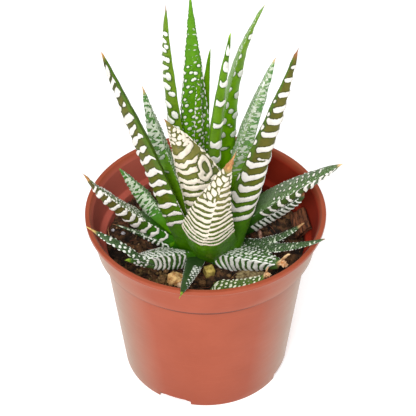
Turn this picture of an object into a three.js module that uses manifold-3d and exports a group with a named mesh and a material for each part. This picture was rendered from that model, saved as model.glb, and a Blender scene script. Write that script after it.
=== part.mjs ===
// Potted haworthia: a rosette of ridged, pointed leaves in a round plastic nursery pot.
// Millimetres, +Z up. The origin is on the pot's axis, at the plane that the pot stands on.
// The front of the plant, where a short broad leaf stands in the middle, faces -Y.
import * as THREE from 'three';
import { mergeVertices } from 'three/addons/utils/BufferGeometryUtils.js';
import Module from 'manifold-3d';

const wasm = await Module();
wasm.setup();

// Clearance between solids that touch on the real plant
const GAP = 0.3;

// Pot: a tapered body, a wider collar above a step, and a flat lip on top
const POT_HEIGHT = 73.5;
const RIM_RADIUS = 45;
const LIP_WIDTH = 1.6;
const LIP_DEPTH = 2.2;
const COLLAR_TOP_RADIUS = 43.3;
const COLLAR_FOOT_RADIUS = 41.3;
const COLLAR_FOOT_HEIGHT = 59.4;
const BODY_TOP_RADIUS = 38.75;
const FOOT_RADIUS = 32;
const FOOT_WIDTH = 1.8;
const WALL = 1.2;
const FLOOR = 1.3;
const FLOOR_RISE = 2.2;
const CENTRE_DISC_RADIUS = 14;
const CENTRE_SLOPE = 2;
const POT_SIDES = 48;

// Notches in the foot ring and drain holes in the floor
const NOTCH_COUNT = 4;
const NOTCH_DIRECTION = 248;
const NOTCH_ANGLE = 24;
const NOTCH_HEIGHT = 1.9;
const DRAIN_COUNT = 8;
const DRAIN_RADIUS = 3;
const DRAIN_CIRCLE = 23;

// Soil: filled to just under the ledge inside the collar, a little higher at the stem
const SOIL_EDGE_HEIGHT = 57.4;
const SOIL_MOUND = 1.2;
const SOIL_ROUGHNESS = 0.55;
const SOIL_RINGS = 7;
const SOIL_SIDES = 32;

// Stem, hidden between the leaf bases and in a plain hole in the soil
const STEM_RADIUS = 6.4;
const STEM_WIDEST = 60;
const STEM_TOP = 73;
const STEM_FOOT = 46;

// Raised bands across the leaves, larger than life so that few faces carry them
const BAND_HEIGHT = 0.5;
const BAND_START = 0.14;
const BAND_END = 0.9;
const BACK_STEPS = 4;
const FRONT_STEPS = 3;

const COLOURS = {
  pot: 0xbe6950,
  soil: 0x2e1d14,
  stem: 0x8a9a3c,
  leaf: 0x55822c,
  greyLeaf: 0x5f8c66,
  tanStone: 0xc08a4a,
  yellowStone: 0xb8a050,
  paleStone: 0xb09468,
  bark: 0x7a4a2c,
};

// Leaves, from the lowest outside ones to the youngest in the heart.
// azimuth is the direction that a leaf leans to, in degrees from +X towards +Y.
// root and foot are the radius and height of its base, and shift moves the base sideways.
// reach and tip are the radius and height of its point.
// bow bends its middle outwards and down, and sway bends it sideways.
// width is its greatest width, thick its thickness over that width, roll turns it on its axis.
// full and sharp shape the taper: a high full keeps it broad, a high sharp draws out its point.
const LEAVES = [
  { azimuth: 261, root: 8.5, foot: 59.5, reach: 57.8, tip: 82.3, shift: -1, bow: 0.4, sway: 0,
    width: 7, thick: 0.32, roll: -6, full: 1.6, sharp: 1.1, bands: 6, grey: true },
  { azimuth: 318, root: 8.5, foot: 60.5, reach: 40, tip: 69.5, shift: -1.5, bow: -2, sway: -1,
    width: 17.5, thick: 0.5, roll: -16, full: 1.6, sharp: 0.8, bands: 10 },
  { azimuth: 218, root: 8.5, foot: 60, reach: 37, tip: 68.5, shift: 1.5, bow: -1, sway: 1,
    width: 15.5, thick: 0.49, roll: 26, full: 2.6, sharp: 1.1, bands: 9 },
  { azimuth: 331, root: 8.5, foot: 60, reach: 49.2, tip: 80, shift: 3, bow: 1.3, sway: -3.8,
    width: 5.8, thick: 0.38, roll: 10, full: 1.6, sharp: 0.6, bands: 5, grey: true },
  { azimuth: 346, root: 8, foot: 60.5, reach: 37.5, tip: 74.5, shift: -1, bow: 1, sway: -5,
    width: 5.5, thick: 0.44, roll: 0, full: 3, sharp: 0.6, bands: 5, grey: true },
  { azimuth: 203, root: 8, foot: 60.5, reach: 47, tip: 81.2, shift: 3, bow: 0.3, sway: 10,
    width: 6.6, thick: 0.4, roll: -16, full: 2.8, sharp: 0.8, bands: 7, grey: true },
  { azimuth: 180, root: 8, foot: 60, reach: 35, tip: 66, shift: 6, bow: 0, sway: 0,
    width: 9, thick: 0.44, roll: 18, full: 1, sharp: 1.2, bands: 5, grey: true },
  { azimuth: 351, root: 8, foot: 61, reach: 36.5, tip: 86, shift: 2, bow: 2, sway: 3.5,
    width: 10.4, thick: 0.43, roll: -10, full: 2.2, sharp: 0.5, bands: 6 },
  { azimuth: 75, root: 8, foot: 60, reach: 37, tip: 69, shift: 0, bow: 0, sway: 3,
    width: 11, thick: 0.45, roll: 10, full: 2, sharp: 1, bands: 6, grey: true },
  { azimuth: 112, root: 8, foot: 60, reach: 38, tip: 70, shift: 0, bow: 1, sway: -3,
    width: 11, thick: 0.45, roll: -8, full: 2, sharp: 1, bands: 6, grey: true },
  { azimuth: 198, root: 7.5, foot: 62, reach: 46.5, tip: 104, shift: 0.5, bow: 5.7, sway: -7.5,
    width: 15.4, thick: 0.4, roll: -7, full: 1.8, sharp: 1.6, bands: 10 },
  { azimuth: 350, root: 7.5, foot: 62, reach: 50, tip: 102.5, shift: 5, bow: -4, sway: -3.5,
    width: 13.5, thick: 0.41, roll: -4, full: 3.7, sharp: 1.1, bands: 10, grey: true },
  { azimuth: 168, root: 7, foot: 62, reach: 33, tip: 87.5, shift: 6.5, bow: 2.5, sway: -5.5,
    width: 14, thick: 0.43, roll: 36, full: 2.5, sharp: 1.15, bands: 7, grey: true },
  { azimuth: 58, root: 7, foot: 62, reach: 31, tip: 84, shift: 0, bow: 3, sway: 0,
    width: 13, thick: 0.43, roll: 0, full: 2, sharp: 1.1, bands: 7 },
  { azimuth: 92, root: 6.5, foot: 63, reach: 27, tip: 96, shift: 0, bow: 3, sway: 1,
    width: 14, thick: 0.42, roll: 5, full: 2, sharp: 1.1, bands: 8 },
  { azimuth: 128, root: 7, foot: 62, reach: 29, tip: 82, shift: 0, bow: 3, sway: -2,
    width: 13, thick: 0.43, roll: -5, full: 2, sharp: 1.1, bands: 7 },
  { azimuth: 289, root: 6.5, foot: 63, reach: 33, tip: 127, shift: 1, bow: 5, sway: -7,
    width: 20.5, thick: 0.42, roll: -24, full: 2.4, sharp: 1.45, bands: 12 },
  { azimuth: 328, root: 6, foot: 63, reach: 36.5, tip: 161.5, shift: -2, bow: 0.3, sway: 0,
    width: 19, thick: 0.55, roll: -4, full: 1, sharp: 0.9, bands: 12 },
  { azimuth: 204, root: 6, foot: 63, reach: 38, tip: 156.5, shift: 2, bow: 0, sway: 6,
    width: 16, thick: 0.43, roll: -4, full: 1.55, sharp: 0.8, bands: 12 },
  { azimuth: 236, root: 5.5, foot: 64, reach: 25.5, tip: 133, shift: 7, bow: -2, sway: 4.5,
    width: 17, thick: 0.42, roll: 38, full: 4, sharp: 1.4, bands: 10 },
  { azimuth: 170, root: 5, foot: 64, reach: 23, tip: 128.5, shift: -2.5, bow: -2, sway: 4.5,
    width: 17, thick: 0.42, roll: 22, full: 2.6, sharp: 1.15, bands: 8, grey: true },
  { azimuth: 20, root: 5, foot: 65, reach: 26.5, tip: 136.5, shift: 0, bow: -3.3, sway: 0,
    width: 15, thick: 0.42, roll: -28, full: 2.6, sharp: 0.95, bands: 8, grey: true },
  { azimuth: 22, root: 4, foot: 66, reach: 22, tip: 159, shift: -6, bow: -2, sway: 11.5,
    width: 14, thick: 0.44, roll: -24, full: 2.1, sharp: 1.15, bands: 7 },
  { azimuth: 113, root: 4, foot: 66, reach: 13.5, tip: 160.5, shift: 2, bow: -2, sway: 0.5,
    width: 16, thick: 0.4, roll: -6, full: 1.3, sharp: 0.9, bands: 8 },
  { azimuth: 200, root: 3, foot: 67, reach: 14, tip: 168, shift: 3.5, bow: 0, sway: -10,
    width: 9, thick: 0.38, roll: 4, full: 3.8, sharp: 1.3, bands: 8 },
  { azimuth: 335, root: 2.5, foot: 68, reach: 9.5, tip: 156, shift: -2.5, bow: -1, sway: -4.5,
    width: 9.3, thick: 0.41, roll: 14, full: 2.5, sharp: 0.8, bands: 8 },
  { azimuth: 78, root: 2, foot: 69, reach: 8.5, tip: 141, shift: 0, bow: 4, sway: 2.5,
    width: 5, thick: 0.42, roll: 0, full: 1.9, sharp: 0.8, bands: 4 },
  { azimuth: 120, root: 1.5, foot: 69, reach: 4.5, tip: 133, shift: 0, bow: -1, sway: 1.5,
    width: 4.6, thick: 0.42, roll: 3, full: 1.9, sharp: 0.55, bands: 4 },
];

// A leaf of a young offset, which comes out of the soil beside the front wall
const OFFSET_LEAF = {
  azimuth: 356, root: 0, foot: 59.8, reach: 20.5, tip: 67.5, shift: 0, bow: 1.2, sway: -1.5,
  width: 9.5, thick: 0.5, roll: -12, full: 2.4, sharp: 0.8, bands: 7, originX: 2.5, originY: -27.5,
};

// Stones on the soil: centre, sizes along their own axes, tilt about X, then turn about Z
const STONES = [
  { name: 'stone_tan', at: [-11.2, -23.7, 60], size: [6.4, 5, 5.4], turn: 20, tilt: 0, round: 0.5,
    colour: COLOURS.tanStone },
  { name: 'stone_small', at: [-16, -22.8, 58.8], size: [3.4, 3, 3], turn: 50, tilt: 0, round: 0.5,
    colour: COLOURS.paleStone },
  { name: 'stone_block', at: [1.3, -20, 60.2], size: [4.4, 4, 5], turn: 25, tilt: 15, round: 0.85,
    colour: COLOURS.yellowStone },
  { name: 'stone_flat', at: [16.4, -20.6, 58.9], size: [11, 5, 3], turn: 4, tilt: 0, round: 0.6,
    colour: COLOURS.paleStone },
];
// The bark chip leans from the soil onto the ledge inside the pot
const BARK = { radius: 36.5, height: 61.55, azimuth: 9, lean: 38, length: 12, width: 7, depth: 1.6, ribs: 4 };

const radians = THREE.MathUtils.degToRad;

// Repeatable noise between -1 and 1 for a seed and a count
function noise(seed, count) {
  const value = Math.sin(seed * 127.1 + count * 311.7 + 74.7) * 43758.5453;
  return 2 * (value - Math.floor(value)) - 1;
}

// Solid from a closed three.js geometry
function solidOf(geometry) {
  const bare = geometry.clone();
  bare.deleteAttribute('normal');
  bare.deleteAttribute('uv');
  const merged = mergeVertices(bare, 1e-4);
  const vertProperties = new Float32Array(merged.attributes.position.array);
  const triVerts = new Uint32Array(merged.index.array);
  return new wasm.Manifold(new wasm.Mesh({ numProp: 3, vertProperties, triVerts }));
}

// three.js geometry from a solid
function geometryOf(solid) {
  const mesh = solid.getMesh();
  const geometry = new THREE.BufferGeometry();
  geometry.setAttribute('position', new THREE.BufferAttribute(mesh.vertProperties, 3));
  geometry.setIndex(new THREE.BufferAttribute(mesh.triVerts, 1));
  geometry.computeVertexNormals();
  return geometry;
}

function boxesMeet(first, second) {
  const a = first.boundingBox();
  const b = second.boundingBox();
  return [0, 1, 2].every((axis) => a.min[axis] < b.max[axis] && b.min[axis] < a.max[axis]);
}

// Cuts the cutters out of a solid and keeps its largest piece
function cutClear(solid, cutters) {
  let rest = solid;
  for (const cutter of cutters) {
    if (boxesMeet(rest, cutter)) {
      rest = rest.subtract(cutter);
    }
  }
  const pieces = rest.decompose();
  return pieces.reduce((best, piece) => (piece.volume() > best.volume() ? piece : best));
}

// Closed skin through equal rings of points, with a fan to a point at each end
function skinOf(rings, startPoint, endPoint) {
  const sides = rings[0].length;
  const points = [startPoint, ...rings.flat(), endPoint];
  const positions = points.flatMap((point) => point.toArray());
  const index = [];
  const vertex = (ring, side) => 1 + ring * sides + (side % sides);
  for (let side = 0; side < sides; side += 1) {
    index.push(0, vertex(0, side + 1), vertex(0, side));
    for (let ring = 0; ring + 1 < rings.length; ring += 1) {
      const a = vertex(ring, side);
      const b = vertex(ring, side + 1);
      const c = vertex(ring + 1, side + 1);
      const d = vertex(ring + 1, side);
      index.push(a, b, c, a, c, d);
    }
    index.push(vertex(rings.length - 1, side), vertex(rings.length - 1, side + 1), points.length - 1);
  }
  const geometry = new THREE.BufferGeometry();
  geometry.setAttribute('position', new THREE.Float32BufferAttribute(positions, 3));
  geometry.setIndex(index);
  return geometry;
}

// Pot wall and floor as one turned profile
function potProfile() {
  const slope = (BODY_TOP_RADIUS - FOOT_RADIUS) / COLLAR_FOOT_HEIGHT;
  const bodyRadius = (height) => FOOT_RADIUS + slope * height;
  const floorTop = FLOOR_RISE + FLOOR;
  const ledge = COLLAR_FOOT_HEIGHT + WALL;
  const lipInside = RIM_RADIUS - LIP_WIDTH;
  const outside = [
    [0, 0],
    [CENTRE_DISC_RADIUS, 0],
    [CENTRE_DISC_RADIUS + CENTRE_SLOPE, FLOOR_RISE],
    [FOOT_RADIUS - FOOT_WIDTH, FLOOR_RISE],
    [FOOT_RADIUS - FOOT_WIDTH, 0],
    [FOOT_RADIUS, 0],
    [BODY_TOP_RADIUS, COLLAR_FOOT_HEIGHT],
    [COLLAR_FOOT_RADIUS, COLLAR_FOOT_HEIGHT],
    [COLLAR_TOP_RADIUS, POT_HEIGHT - LIP_DEPTH],
    [RIM_RADIUS - 0.5, POT_HEIGHT - LIP_DEPTH + 0.3],
    [RIM_RADIUS, POT_HEIGHT - LIP_DEPTH + 0.9],
    [RIM_RADIUS, POT_HEIGHT - 0.4],
    [RIM_RADIUS - 0.4, POT_HEIGHT],
  ];
  const inside = [
    [lipInside, POT_HEIGHT],
    [lipInside - 0.7, POT_HEIGHT - 0.6],
    [COLLAR_TOP_RADIUS - WALL, POT_HEIGHT - LIP_DEPTH],
    [COLLAR_FOOT_RADIUS - WALL, ledge],
    [bodyRadius(ledge) - WALL, ledge],
    [bodyRadius(floorTop) - WALL, floorTop],
    [CENTRE_DISC_RADIUS + CENTRE_SLOPE - 0.6, floorTop],
    [CENTRE_DISC_RADIUS - 0.6, FLOOR],
    [0, FLOOR],
  ];
  return [...outside, ...inside].map(([radius, height]) => new THREE.Vector2(radius, height));
}

// Turns a profile of radius and height about the Z axis
function turned(profile, sides) {
  const geometry = new THREE.LatheGeometry(profile, sides);
  geometry.rotateX(Math.PI / 2);
  return solidOf(geometry);
}

function potSolid() {
  let pot = turned(potProfile(), POT_SIDES);
  const notchWidth = 2 * FOOT_RADIUS * Math.sin(radians(NOTCH_ANGLE / 2));
  for (let count = 0; count < NOTCH_COUNT; count += 1) {
    const notch = new THREE.BoxGeometry(3 * FOOT_WIDTH, notchWidth, 2 * NOTCH_HEIGHT);
    notch.translate(FOOT_RADIUS - FOOT_WIDTH / 2, 0, 0);
    notch.rotateZ(radians(NOTCH_DIRECTION + (count * 360) / NOTCH_COUNT));
    pot = pot.subtract(solidOf(notch));
  }
  for (let count = 0; count < DRAIN_COUNT; count += 1) {
    const drain = new THREE.CylinderGeometry(DRAIN_RADIUS, DRAIN_RADIUS, 4 * FLOOR, 12);
    drain.rotateX(Math.PI / 2);
    drain.translate(DRAIN_CIRCLE, 0, FLOOR_RISE + FLOOR / 2);
    drain.rotateZ(radians(((count + 0.5) * 360) / DRAIN_COUNT));
    pot = pot.subtract(solidOf(drain));
  }
  return pot;
}

// Height of the soil surface: a low mound with clods
function soilHeight(radius, angle) {
  const mound = SOIL_MOUND * (1 - (radius / BODY_TOP_RADIUS) ** 2);
  const broad = Math.sin(3 * angle + 1) * Math.sin(radius / 5) + Math.sin(7 * angle + radius / 3);
  const clods = noise(Math.round(radius), Math.round(angle * 40));
  return SOIL_EDGE_HEIGHT + mound + SOIL_ROUGHNESS * (0.35 * broad + 0.65 * clods);
}

function soilSolid() {
  const slope = (BODY_TOP_RADIUS - FOOT_RADIUS) / COLLAR_FOOT_HEIGHT;
  const wallRadius = (height) => FOOT_RADIUS + slope * height - WALL - GAP;
  const ring = (radius, height) => Array.from({ length: SOIL_SIDES }, (_, side) => {
    const angle = (2 * Math.PI * side) / SOIL_SIDES;
    const z = height ?? soilHeight(radius, angle);
    return new THREE.Vector3(radius * Math.cos(angle), radius * Math.sin(angle), z);
  });
  const bottom = FLOOR_RISE + FLOOR + GAP;
  const topRadius = wallRadius(SOIL_EDGE_HEIGHT - 2);
  const rings = [ring(wallRadius(bottom), bottom), ring(topRadius, SOIL_EDGE_HEIGHT - 2)];
  for (let count = SOIL_RINGS; count > 0; count -= 1) {
    rings.push(ring((topRadius * count) / SOIL_RINGS));
  }
  const centre = new THREE.Vector3(0, 0, SOIL_EDGE_HEIGHT + SOIL_MOUND);
  return solidOf(skinOf(rings, new THREE.Vector3(0, 0, bottom), centre));
}

// Short stem. grow makes the larger form that cuts its place in the soil and the leaves.
function stemSolid(grow) {
  const profile = [
    [0, STEM_FOOT - grow],
    [STEM_RADIUS * 0.4 + grow, STEM_FOOT - grow],
    [STEM_RADIUS * 0.8 + grow, STEM_FOOT + 5],
    [STEM_RADIUS + grow, STEM_WIDEST],
    [STEM_RADIUS * 0.85 + grow, STEM_WIDEST + 4],
    [STEM_RADIUS * 0.5 + grow, STEM_TOP - 4],
    [STEM_RADIUS * 0.15 + grow, STEM_TOP + grow],
    [0, STEM_TOP + grow],
  ];
  return turned(profile.map(([radius, height]) => new THREE.Vector2(radius, height)), 16);
}

// Centre line of a leaf and the directions across it, at t from 0 at the base to 1 at the point
function leafFrame(leaf, t) {
  const turn = radians(leaf.azimuth);
  const out = new THREE.Vector3(Math.cos(turn), Math.sin(turn), 0);
  const side = new THREE.Vector3(-Math.sin(turn), Math.cos(turn), 0);
  const place = (radius, height) => new THREE.Vector3(leaf.originX ?? 0, leaf.originY ?? 0, height)
    .addScaledVector(out, radius);
  const base = place(leaf.root, leaf.foot).addScaledVector(side, leaf.shift);
  const point = place(leaf.reach, leaf.tip);
  const run = leaf.reach - leaf.root;
  const rise = leaf.tip - leaf.foot;
  const outwards = out.clone().multiplyScalar(rise).setZ(-run).divideScalar(Math.hypot(run, rise));
  const middle = base.clone().add(point).multiplyScalar(0.5)
    .addScaledVector(outwards, 2 * leaf.bow)
    .addScaledVector(side, 2 * leaf.sway);
  const path = new THREE.QuadraticBezierCurve3(base, middle, point);
  const along = path.getTangent(t);
  const flat = side.clone().addScaledVector(along, -along.dot(side)).normalize();
  const inward = along.clone().cross(flat);
  const roll = radians(leaf.roll);
  return {
    centre: path.getPoint(t),
    along,
    across: flat.clone().multiplyScalar(Math.cos(roll)).addScaledVector(inward, Math.sin(roll)),
    inward: inward.clone().multiplyScalar(Math.cos(roll)).addScaledVector(flat, -Math.sin(roll)),
  };
}

// One ring of the leaf's section: a keeled round back and a nearly flat face towards the heart
function leafRing(leaf, t, ridge, grow) {
  const frame = leafFrame(leaf, t);
  const taper = Math.max(1 - t ** leaf.full, 0) ** leaf.sharp;
  const half = 0.5 * leaf.width * taper + 0.05 + 0.4 * ridge + grow;
  const back = leaf.thick * leaf.width * taper ** 0.9 + 0.05 + ridge;
  const faceRise = 1.2 * THREE.MathUtils.clamp((t - 0.1) / 0.5, 0, 1) - 0.35;
  const face = 0.1 * leaf.width * faceRise * taper;
  const keel = 2.1 - 0.6 * t;
  const point = (x, y) => frame.centre.clone()
    .addScaledVector(frame.across, x)
    .addScaledVector(frame.inward, y);
  const ring = [];
  for (let step = 0; step <= BACK_STEPS; step += 1) {
    const cosine = Math.cos((Math.PI * step) / BACK_STEPS);
    const depth = back * (1 - Math.abs(cosine) ** keel);
    ring.push(point(half * cosine, -depth - (depth > 0.01 ? grow : 0)));
  }
  for (let step = 1; step < FRONT_STEPS; step += 1) {
    const cosine = Math.cos(Math.PI * (1 - step / FRONT_STEPS));
    ring.push(point(half * cosine, face * (1 - cosine ** 2) + 0.3 + grow));
  }
  return ring.reverse();
}

// A leaf with its raised bands, as rings that lie on a band and between two bands in turn
function leafSolid(leaf) {
  const rings = [leafRing(leaf, 0, 0, 0), leafRing(leaf, BAND_START / 2, 0, 0)];
  const steps = 2 * leaf.bands;
  for (let step = 0; step <= steps; step += 1) {
    const t = BAND_START + ((BAND_END - BAND_START) * step) / steps;
    const fade = 1 - 0.7 * t;
    rings.push(leafRing(leaf, t, step % 2 === 1 ? BAND_HEIGHT * fade : 0, 0));
  }
  rings.push(leafRing(leaf, 0.97, 0, 0));
  const { centre: foot } = leafFrame(leaf, 0);
  const { centre: point } = leafFrame(leaf, 1);
  return solidOf(skinOf(rings, foot, point));
}

// The smooth, slightly larger form that keeps a leaf's neighbours clear of it
function leafCutter(leaf) {
  const steps = [0, 0.1, 0.2, 0.3, 0.4, 0.5, 0.6, 0.7, 0.78, 0.85, 0.9, 0.94, 0.97, 0.99];
  const rings = steps.map((t) => leafRing(leaf, t, BAND_HEIGHT * (1 - 0.7 * t), GAP));
  const start = leafFrame(leaf, 0);
  const end = leafFrame(leaf, 1);
  const foot = start.centre.addScaledVector(start.along, -GAP);
  const point = end.centre.addScaledVector(end.along, 2 * GAP);
  return solidOf(skinOf(rings, foot, point));
}

// A stone: a sphere pushed towards a block by its roundness, with a rough surface
function stoneSolid(stone, grow) {
  const geometry = mergeVertices(bareGeometry(new THREE.IcosahedronGeometry(1, 1)), 1e-4);
  const position = geometry.attributes.position;
  const point = new THREE.Vector3();
  for (let count = 0; count < position.count; count += 1) {
    point.fromBufferAttribute(position, count);
    const block = Math.max(Math.abs(point.x), Math.abs(point.y), Math.abs(point.z));
    const squared = THREE.MathUtils.lerp(1, 0.85 / block, stone.round - 0.5);
    point.multiplyScalar(squared * (1 + 0.07 * noise(count, stone.size[0])));
    const [sizeX, sizeY, sizeZ] = stone.size;
    point.multiply(new THREE.Vector3(sizeX / 2 + grow, sizeY / 2 + grow, sizeZ / 2 + grow));
    position.setXYZ(count, point.x, point.y, point.z);
  }
  geometry.rotateX(radians(stone.tilt));
  geometry.rotateZ(radians(stone.turn));
  geometry.translate(...stone.at);
  return solidOf(geometry);
}

function bareGeometry(geometry) {
  geometry.deleteAttribute('normal');
  geometry.deleteAttribute('uv');
  return geometry;
}

// A flat bark chip with ribs along it
function barkSolid(grow) {
  const outline = new THREE.Shape();
  const half = BARK.width / 2 + grow;
  outline.moveTo(-half, -BARK.depth / 2 - grow);
  outline.lineTo(half, -BARK.depth / 2 - grow);
  const steps = 2 * BARK.ribs;
  for (let step = 0; step <= steps; step += 1) {
    const rib = step % 2 === 1 ? BARK.depth / 2 : BARK.depth / 5;
    outline.lineTo(half - (2 * half * step) / steps, rib + grow);
  }
  const chip = new THREE.ExtrudeGeometry(outline, { depth: BARK.length + 2 * grow, bevelEnabled: false });
  chip.translate(0, 0, -BARK.length / 2 - grow);
  chip.rotateX(Math.PI / 2);
  chip.rotateY(radians(-BARK.lean));
  chip.translate(BARK.radius, 0, BARK.height);
  chip.rotateZ(radians(BARK.azimuth));
  return solidOf(chip);
}

function meshOf(name, solid, colour, roughness) {
  const material = new THREE.MeshStandardMaterial({ color: colour, roughness, metalness: 0 });
  const mesh = new THREE.Mesh(geometryOf(solid), material);
  mesh.name = name;
  return mesh;
}

const plant = new THREE.Group();
plant.name = 'potted_haworthia';

plant.add(meshOf('pot', potSolid(), COLOURS.pot, 0.45));
plant.add(meshOf('stem', stemSolid(0), COLOURS.stem, 0.6));

// Outer leaves keep their whole form, and each leaf further in is cut clear of them
const leaves = [...LEAVES, OFFSET_LEAF];
const leafCutters = [stemSolid(GAP)];
leaves.forEach((leaf, count) => {
  const solid = cutClear(leafSolid(leaf), leafCutters);
  const name = leaf === OFFSET_LEAF ? 'leaf_offset' : `leaf_${String(count + 1).padStart(2, '0')}`;
  plant.add(meshOf(name, solid, leaf.grey ? COLOURS.greyLeaf : COLOURS.leaf, 0.5));
  leafCutters.push(leafCutter(leaf));
});

const stoneCutters = [];
STONES.forEach((stone) => {
  const solid = cutClear(stoneSolid(stone, 0), [...leafCutters, ...stoneCutters]);
  plant.add(meshOf(stone.name, solid, stone.colour, 0.9));
  stoneCutters.push(stoneSolid(stone, GAP));
});
plant.add(meshOf('bark_chip', cutClear(barkSolid(0), leafCutters), COLOURS.bark, 0.9));

// The soil takes the marks of all that stands or lies in it
const soil = cutClear(soilSolid(), [...leafCutters, ...stoneCutters, barkSolid(GAP)]);
plant.add(meshOf('soil', soil, COLOURS.soil, 1));

export default plant;
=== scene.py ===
"""Potted haworthia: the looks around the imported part.

Every leaf, the pot, the soil, the stones and the bark chip get a finer piece in the place of their node.
Sizes are in millimetres, angles in degrees and colours in steps of 0 to 255.
"""

import math

import bmesh
import bpy
import numpy as np
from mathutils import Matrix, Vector


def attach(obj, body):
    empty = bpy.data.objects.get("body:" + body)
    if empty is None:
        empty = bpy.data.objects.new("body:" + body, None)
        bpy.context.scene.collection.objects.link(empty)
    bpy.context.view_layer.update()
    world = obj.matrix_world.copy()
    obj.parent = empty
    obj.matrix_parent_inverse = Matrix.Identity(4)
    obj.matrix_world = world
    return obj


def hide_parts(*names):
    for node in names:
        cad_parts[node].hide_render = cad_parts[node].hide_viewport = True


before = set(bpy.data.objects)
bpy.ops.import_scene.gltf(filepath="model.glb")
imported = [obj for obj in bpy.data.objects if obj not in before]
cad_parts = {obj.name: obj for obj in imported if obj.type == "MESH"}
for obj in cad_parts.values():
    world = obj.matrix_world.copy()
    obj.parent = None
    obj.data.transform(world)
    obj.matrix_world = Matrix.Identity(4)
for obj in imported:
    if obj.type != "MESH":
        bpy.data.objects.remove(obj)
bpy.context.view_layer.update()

MM = 0.001

# Camera: it looks down on the plant from the front
CAMERA_TARGET = (0.91, 0.0, 73.95)
CAMERA_ELEVATION = 41.1
CAMERA_DISTANCE = 600
CAMERA_LENS = 139.2
SENSOR_WIDTH = 36

# Light: strength of the white surroundings and of the floor's own light, and power of the lamps in watts
SKY_LIGHT = 0.55
FLOOR_LIGHT = 0.38
FLOOR_GREY = 0.88
FLOOR_REACH = 2000
KEY_POWER = 8
TOP_POWER = 2
LIGHT_LEVEL = 1.15

# Pot
POT_HEIGHT = 73.5
RIM_RADIUS = 45
LIP_WIDTH = 1.6
LIP_DEPTH = 2.2
LIP_FOOT = POT_HEIGHT - LIP_DEPTH
COLLAR_TOP_RADIUS = 43.3
COLLAR_FOOT_RADIUS = 41.3
COLLAR_FOOT_HEIGHT = 59.4
BODY_TOP_RADIUS = 38.75
FOOT_RADIUS = 32
BODY_SLOPE = (BODY_TOP_RADIUS - FOOT_RADIUS) / COLLAR_FOOT_HEIGHT
FOOT_WIDTH = 1.8
WALL = 1.2
FLOOR = 1.3
FLOOR_RISE = 2.2
CENTRE_DISC_RADIUS = 14
CENTRE_SLOPE = 2
POT_SIDES = 192
CORNER_STEPS = 4
NOTCH_COUNT = 4
NOTCH_DIRECTION = 248
NOTCH_ANGLE = 24
NOTCH_HEIGHT = 2.6
NOTCH_STEPS = 12
DRAIN_COUNT = 8
DRAIN_RADIUS = 3
DRAIN_CIRCLE = 23
DRAIN_SIDES = 32

# Soil, and how far from the middle its litter lies
SOIL_EDGE_HEIGHT = 57.4
SOIL_MOUND = 1.2
SOIL_ROUGHNESS = 0.75
SOIL_GAP = 0.1
SOIL_RINGS = 96
SOIL_SIDES = 260
LITTER_REACH = 36.5
CRUMB_COUNT = 1100
FIBRE_COUNT = 220
FIBRE_STEPS = 8

# Leaf mesh: the spacing of its points, the height of its raised white marks, and depth far off any mark
LEAF_CELL = 0.44
LEAF_CELL_SMALL = 0.28
LEAF_CELL_FAR = 0.6
SMALL_LEAF_WIDTH = 12
LEAF_MOST_ROUND = 100
BAND_RELIEF = 0.42
DOT_RELIEF = 0.34
MARGIN_THICKNESS = 0.3
NO_MARK = -9.0


def paint(red, green, blue):
    """Surface colour that looks like this screen colour under the scene's light."""
    def linear(value):
        share = value / 255
        return share / 12.92 if share <= 0.04045 else ((share + 0.055) / 1.055) ** 2.4
    return tuple(min(linear(value) / LIGHT_LEVEL, 0.95) for value in (red, green, blue)) + (1.0,)


# Leaf colours: at the base, between the marks, where the sun has browned it, and of the marks
STRIPED = dict(fresh=(72, 124, 0), deep=(76, 106, 4), sun=(96, 86, 8), mark=(230, 225, 217))
CREAMY = dict(fresh=(84, 144, 0), deep=(84, 104, 14), sun=(152, 138, 74), mark=(238, 227, 208))
WORN = dict(fresh=(52, 116, 8), deep=(72, 92, 34), sun=(116, 96, 46), mark=(248, 244, 236))
YELLOWED = dict(fresh=(128, 190, 0), deep=(118, 164, 16), sun=(120, 140, 24), mark=(250, 250, 240))
# Its base colour is raised above the leaf's own, as painted light in the rosette's middle
FROSTED = dict(fresh=(150, 212, 16), deep=(88, 150, 60), sun=(190, 214, 160), mark=(240, 244, 232))
BRIGHT = dict(fresh=(124, 196, 6), deep=(96, 158, 18), sun=(112, 136, 20), mark=(248, 248, 238))
LIMY = dict(fresh=(116, 176, 0), deep=(98, 150, 0), sun=(116, 146, 8), mark=(246, 244, 234))
MINT = dict(fresh=(84, 140, 0), deep=(84, 152, 62), sun=(96, 128, 60), mark=(214, 226, 200))
# A copy of MINT with its base colour raised, as painted light in the rosette's middle
MINT_LIT_BASE = dict(fresh=(150, 212, 16), deep=(88, 150, 60), sun=(96, 128, 60), mark=(214, 226, 200))
GREY = dict(fresh=(72, 136, 10), deep=(82, 128, 58), sun=(92, 112, 56), mark=(248, 250, 242))
SHADED = dict(fresh=(52, 116, 8), deep=(66, 98, 36), sun=(80, 90, 36), mark=(248, 244, 236))
YOUNG = dict(fresh=(98, 140, 20), deep=(100, 130, 50), sun=(112, 124, 50), mark=(255, 255, 228))
DARK = dict(fresh=(44, 98, 16), deep=(62, 92, 50), sun=(68, 84, 48), mark=(244, 248, 238))

# Colours of dry tips, of the darker patches in a green one and in the others, and of pale bloom
ORANGE = (206, 150, 92)
CREAM = (238, 200, 150)
BROWN = (150, 96, 56)
LIME = (170, 206, 60)
DEEP_LIME = (88, 132, 20)
DEEP_BROWN = (156, 98, 56)
FROST_COLOUR = (196, 222, 180)

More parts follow.
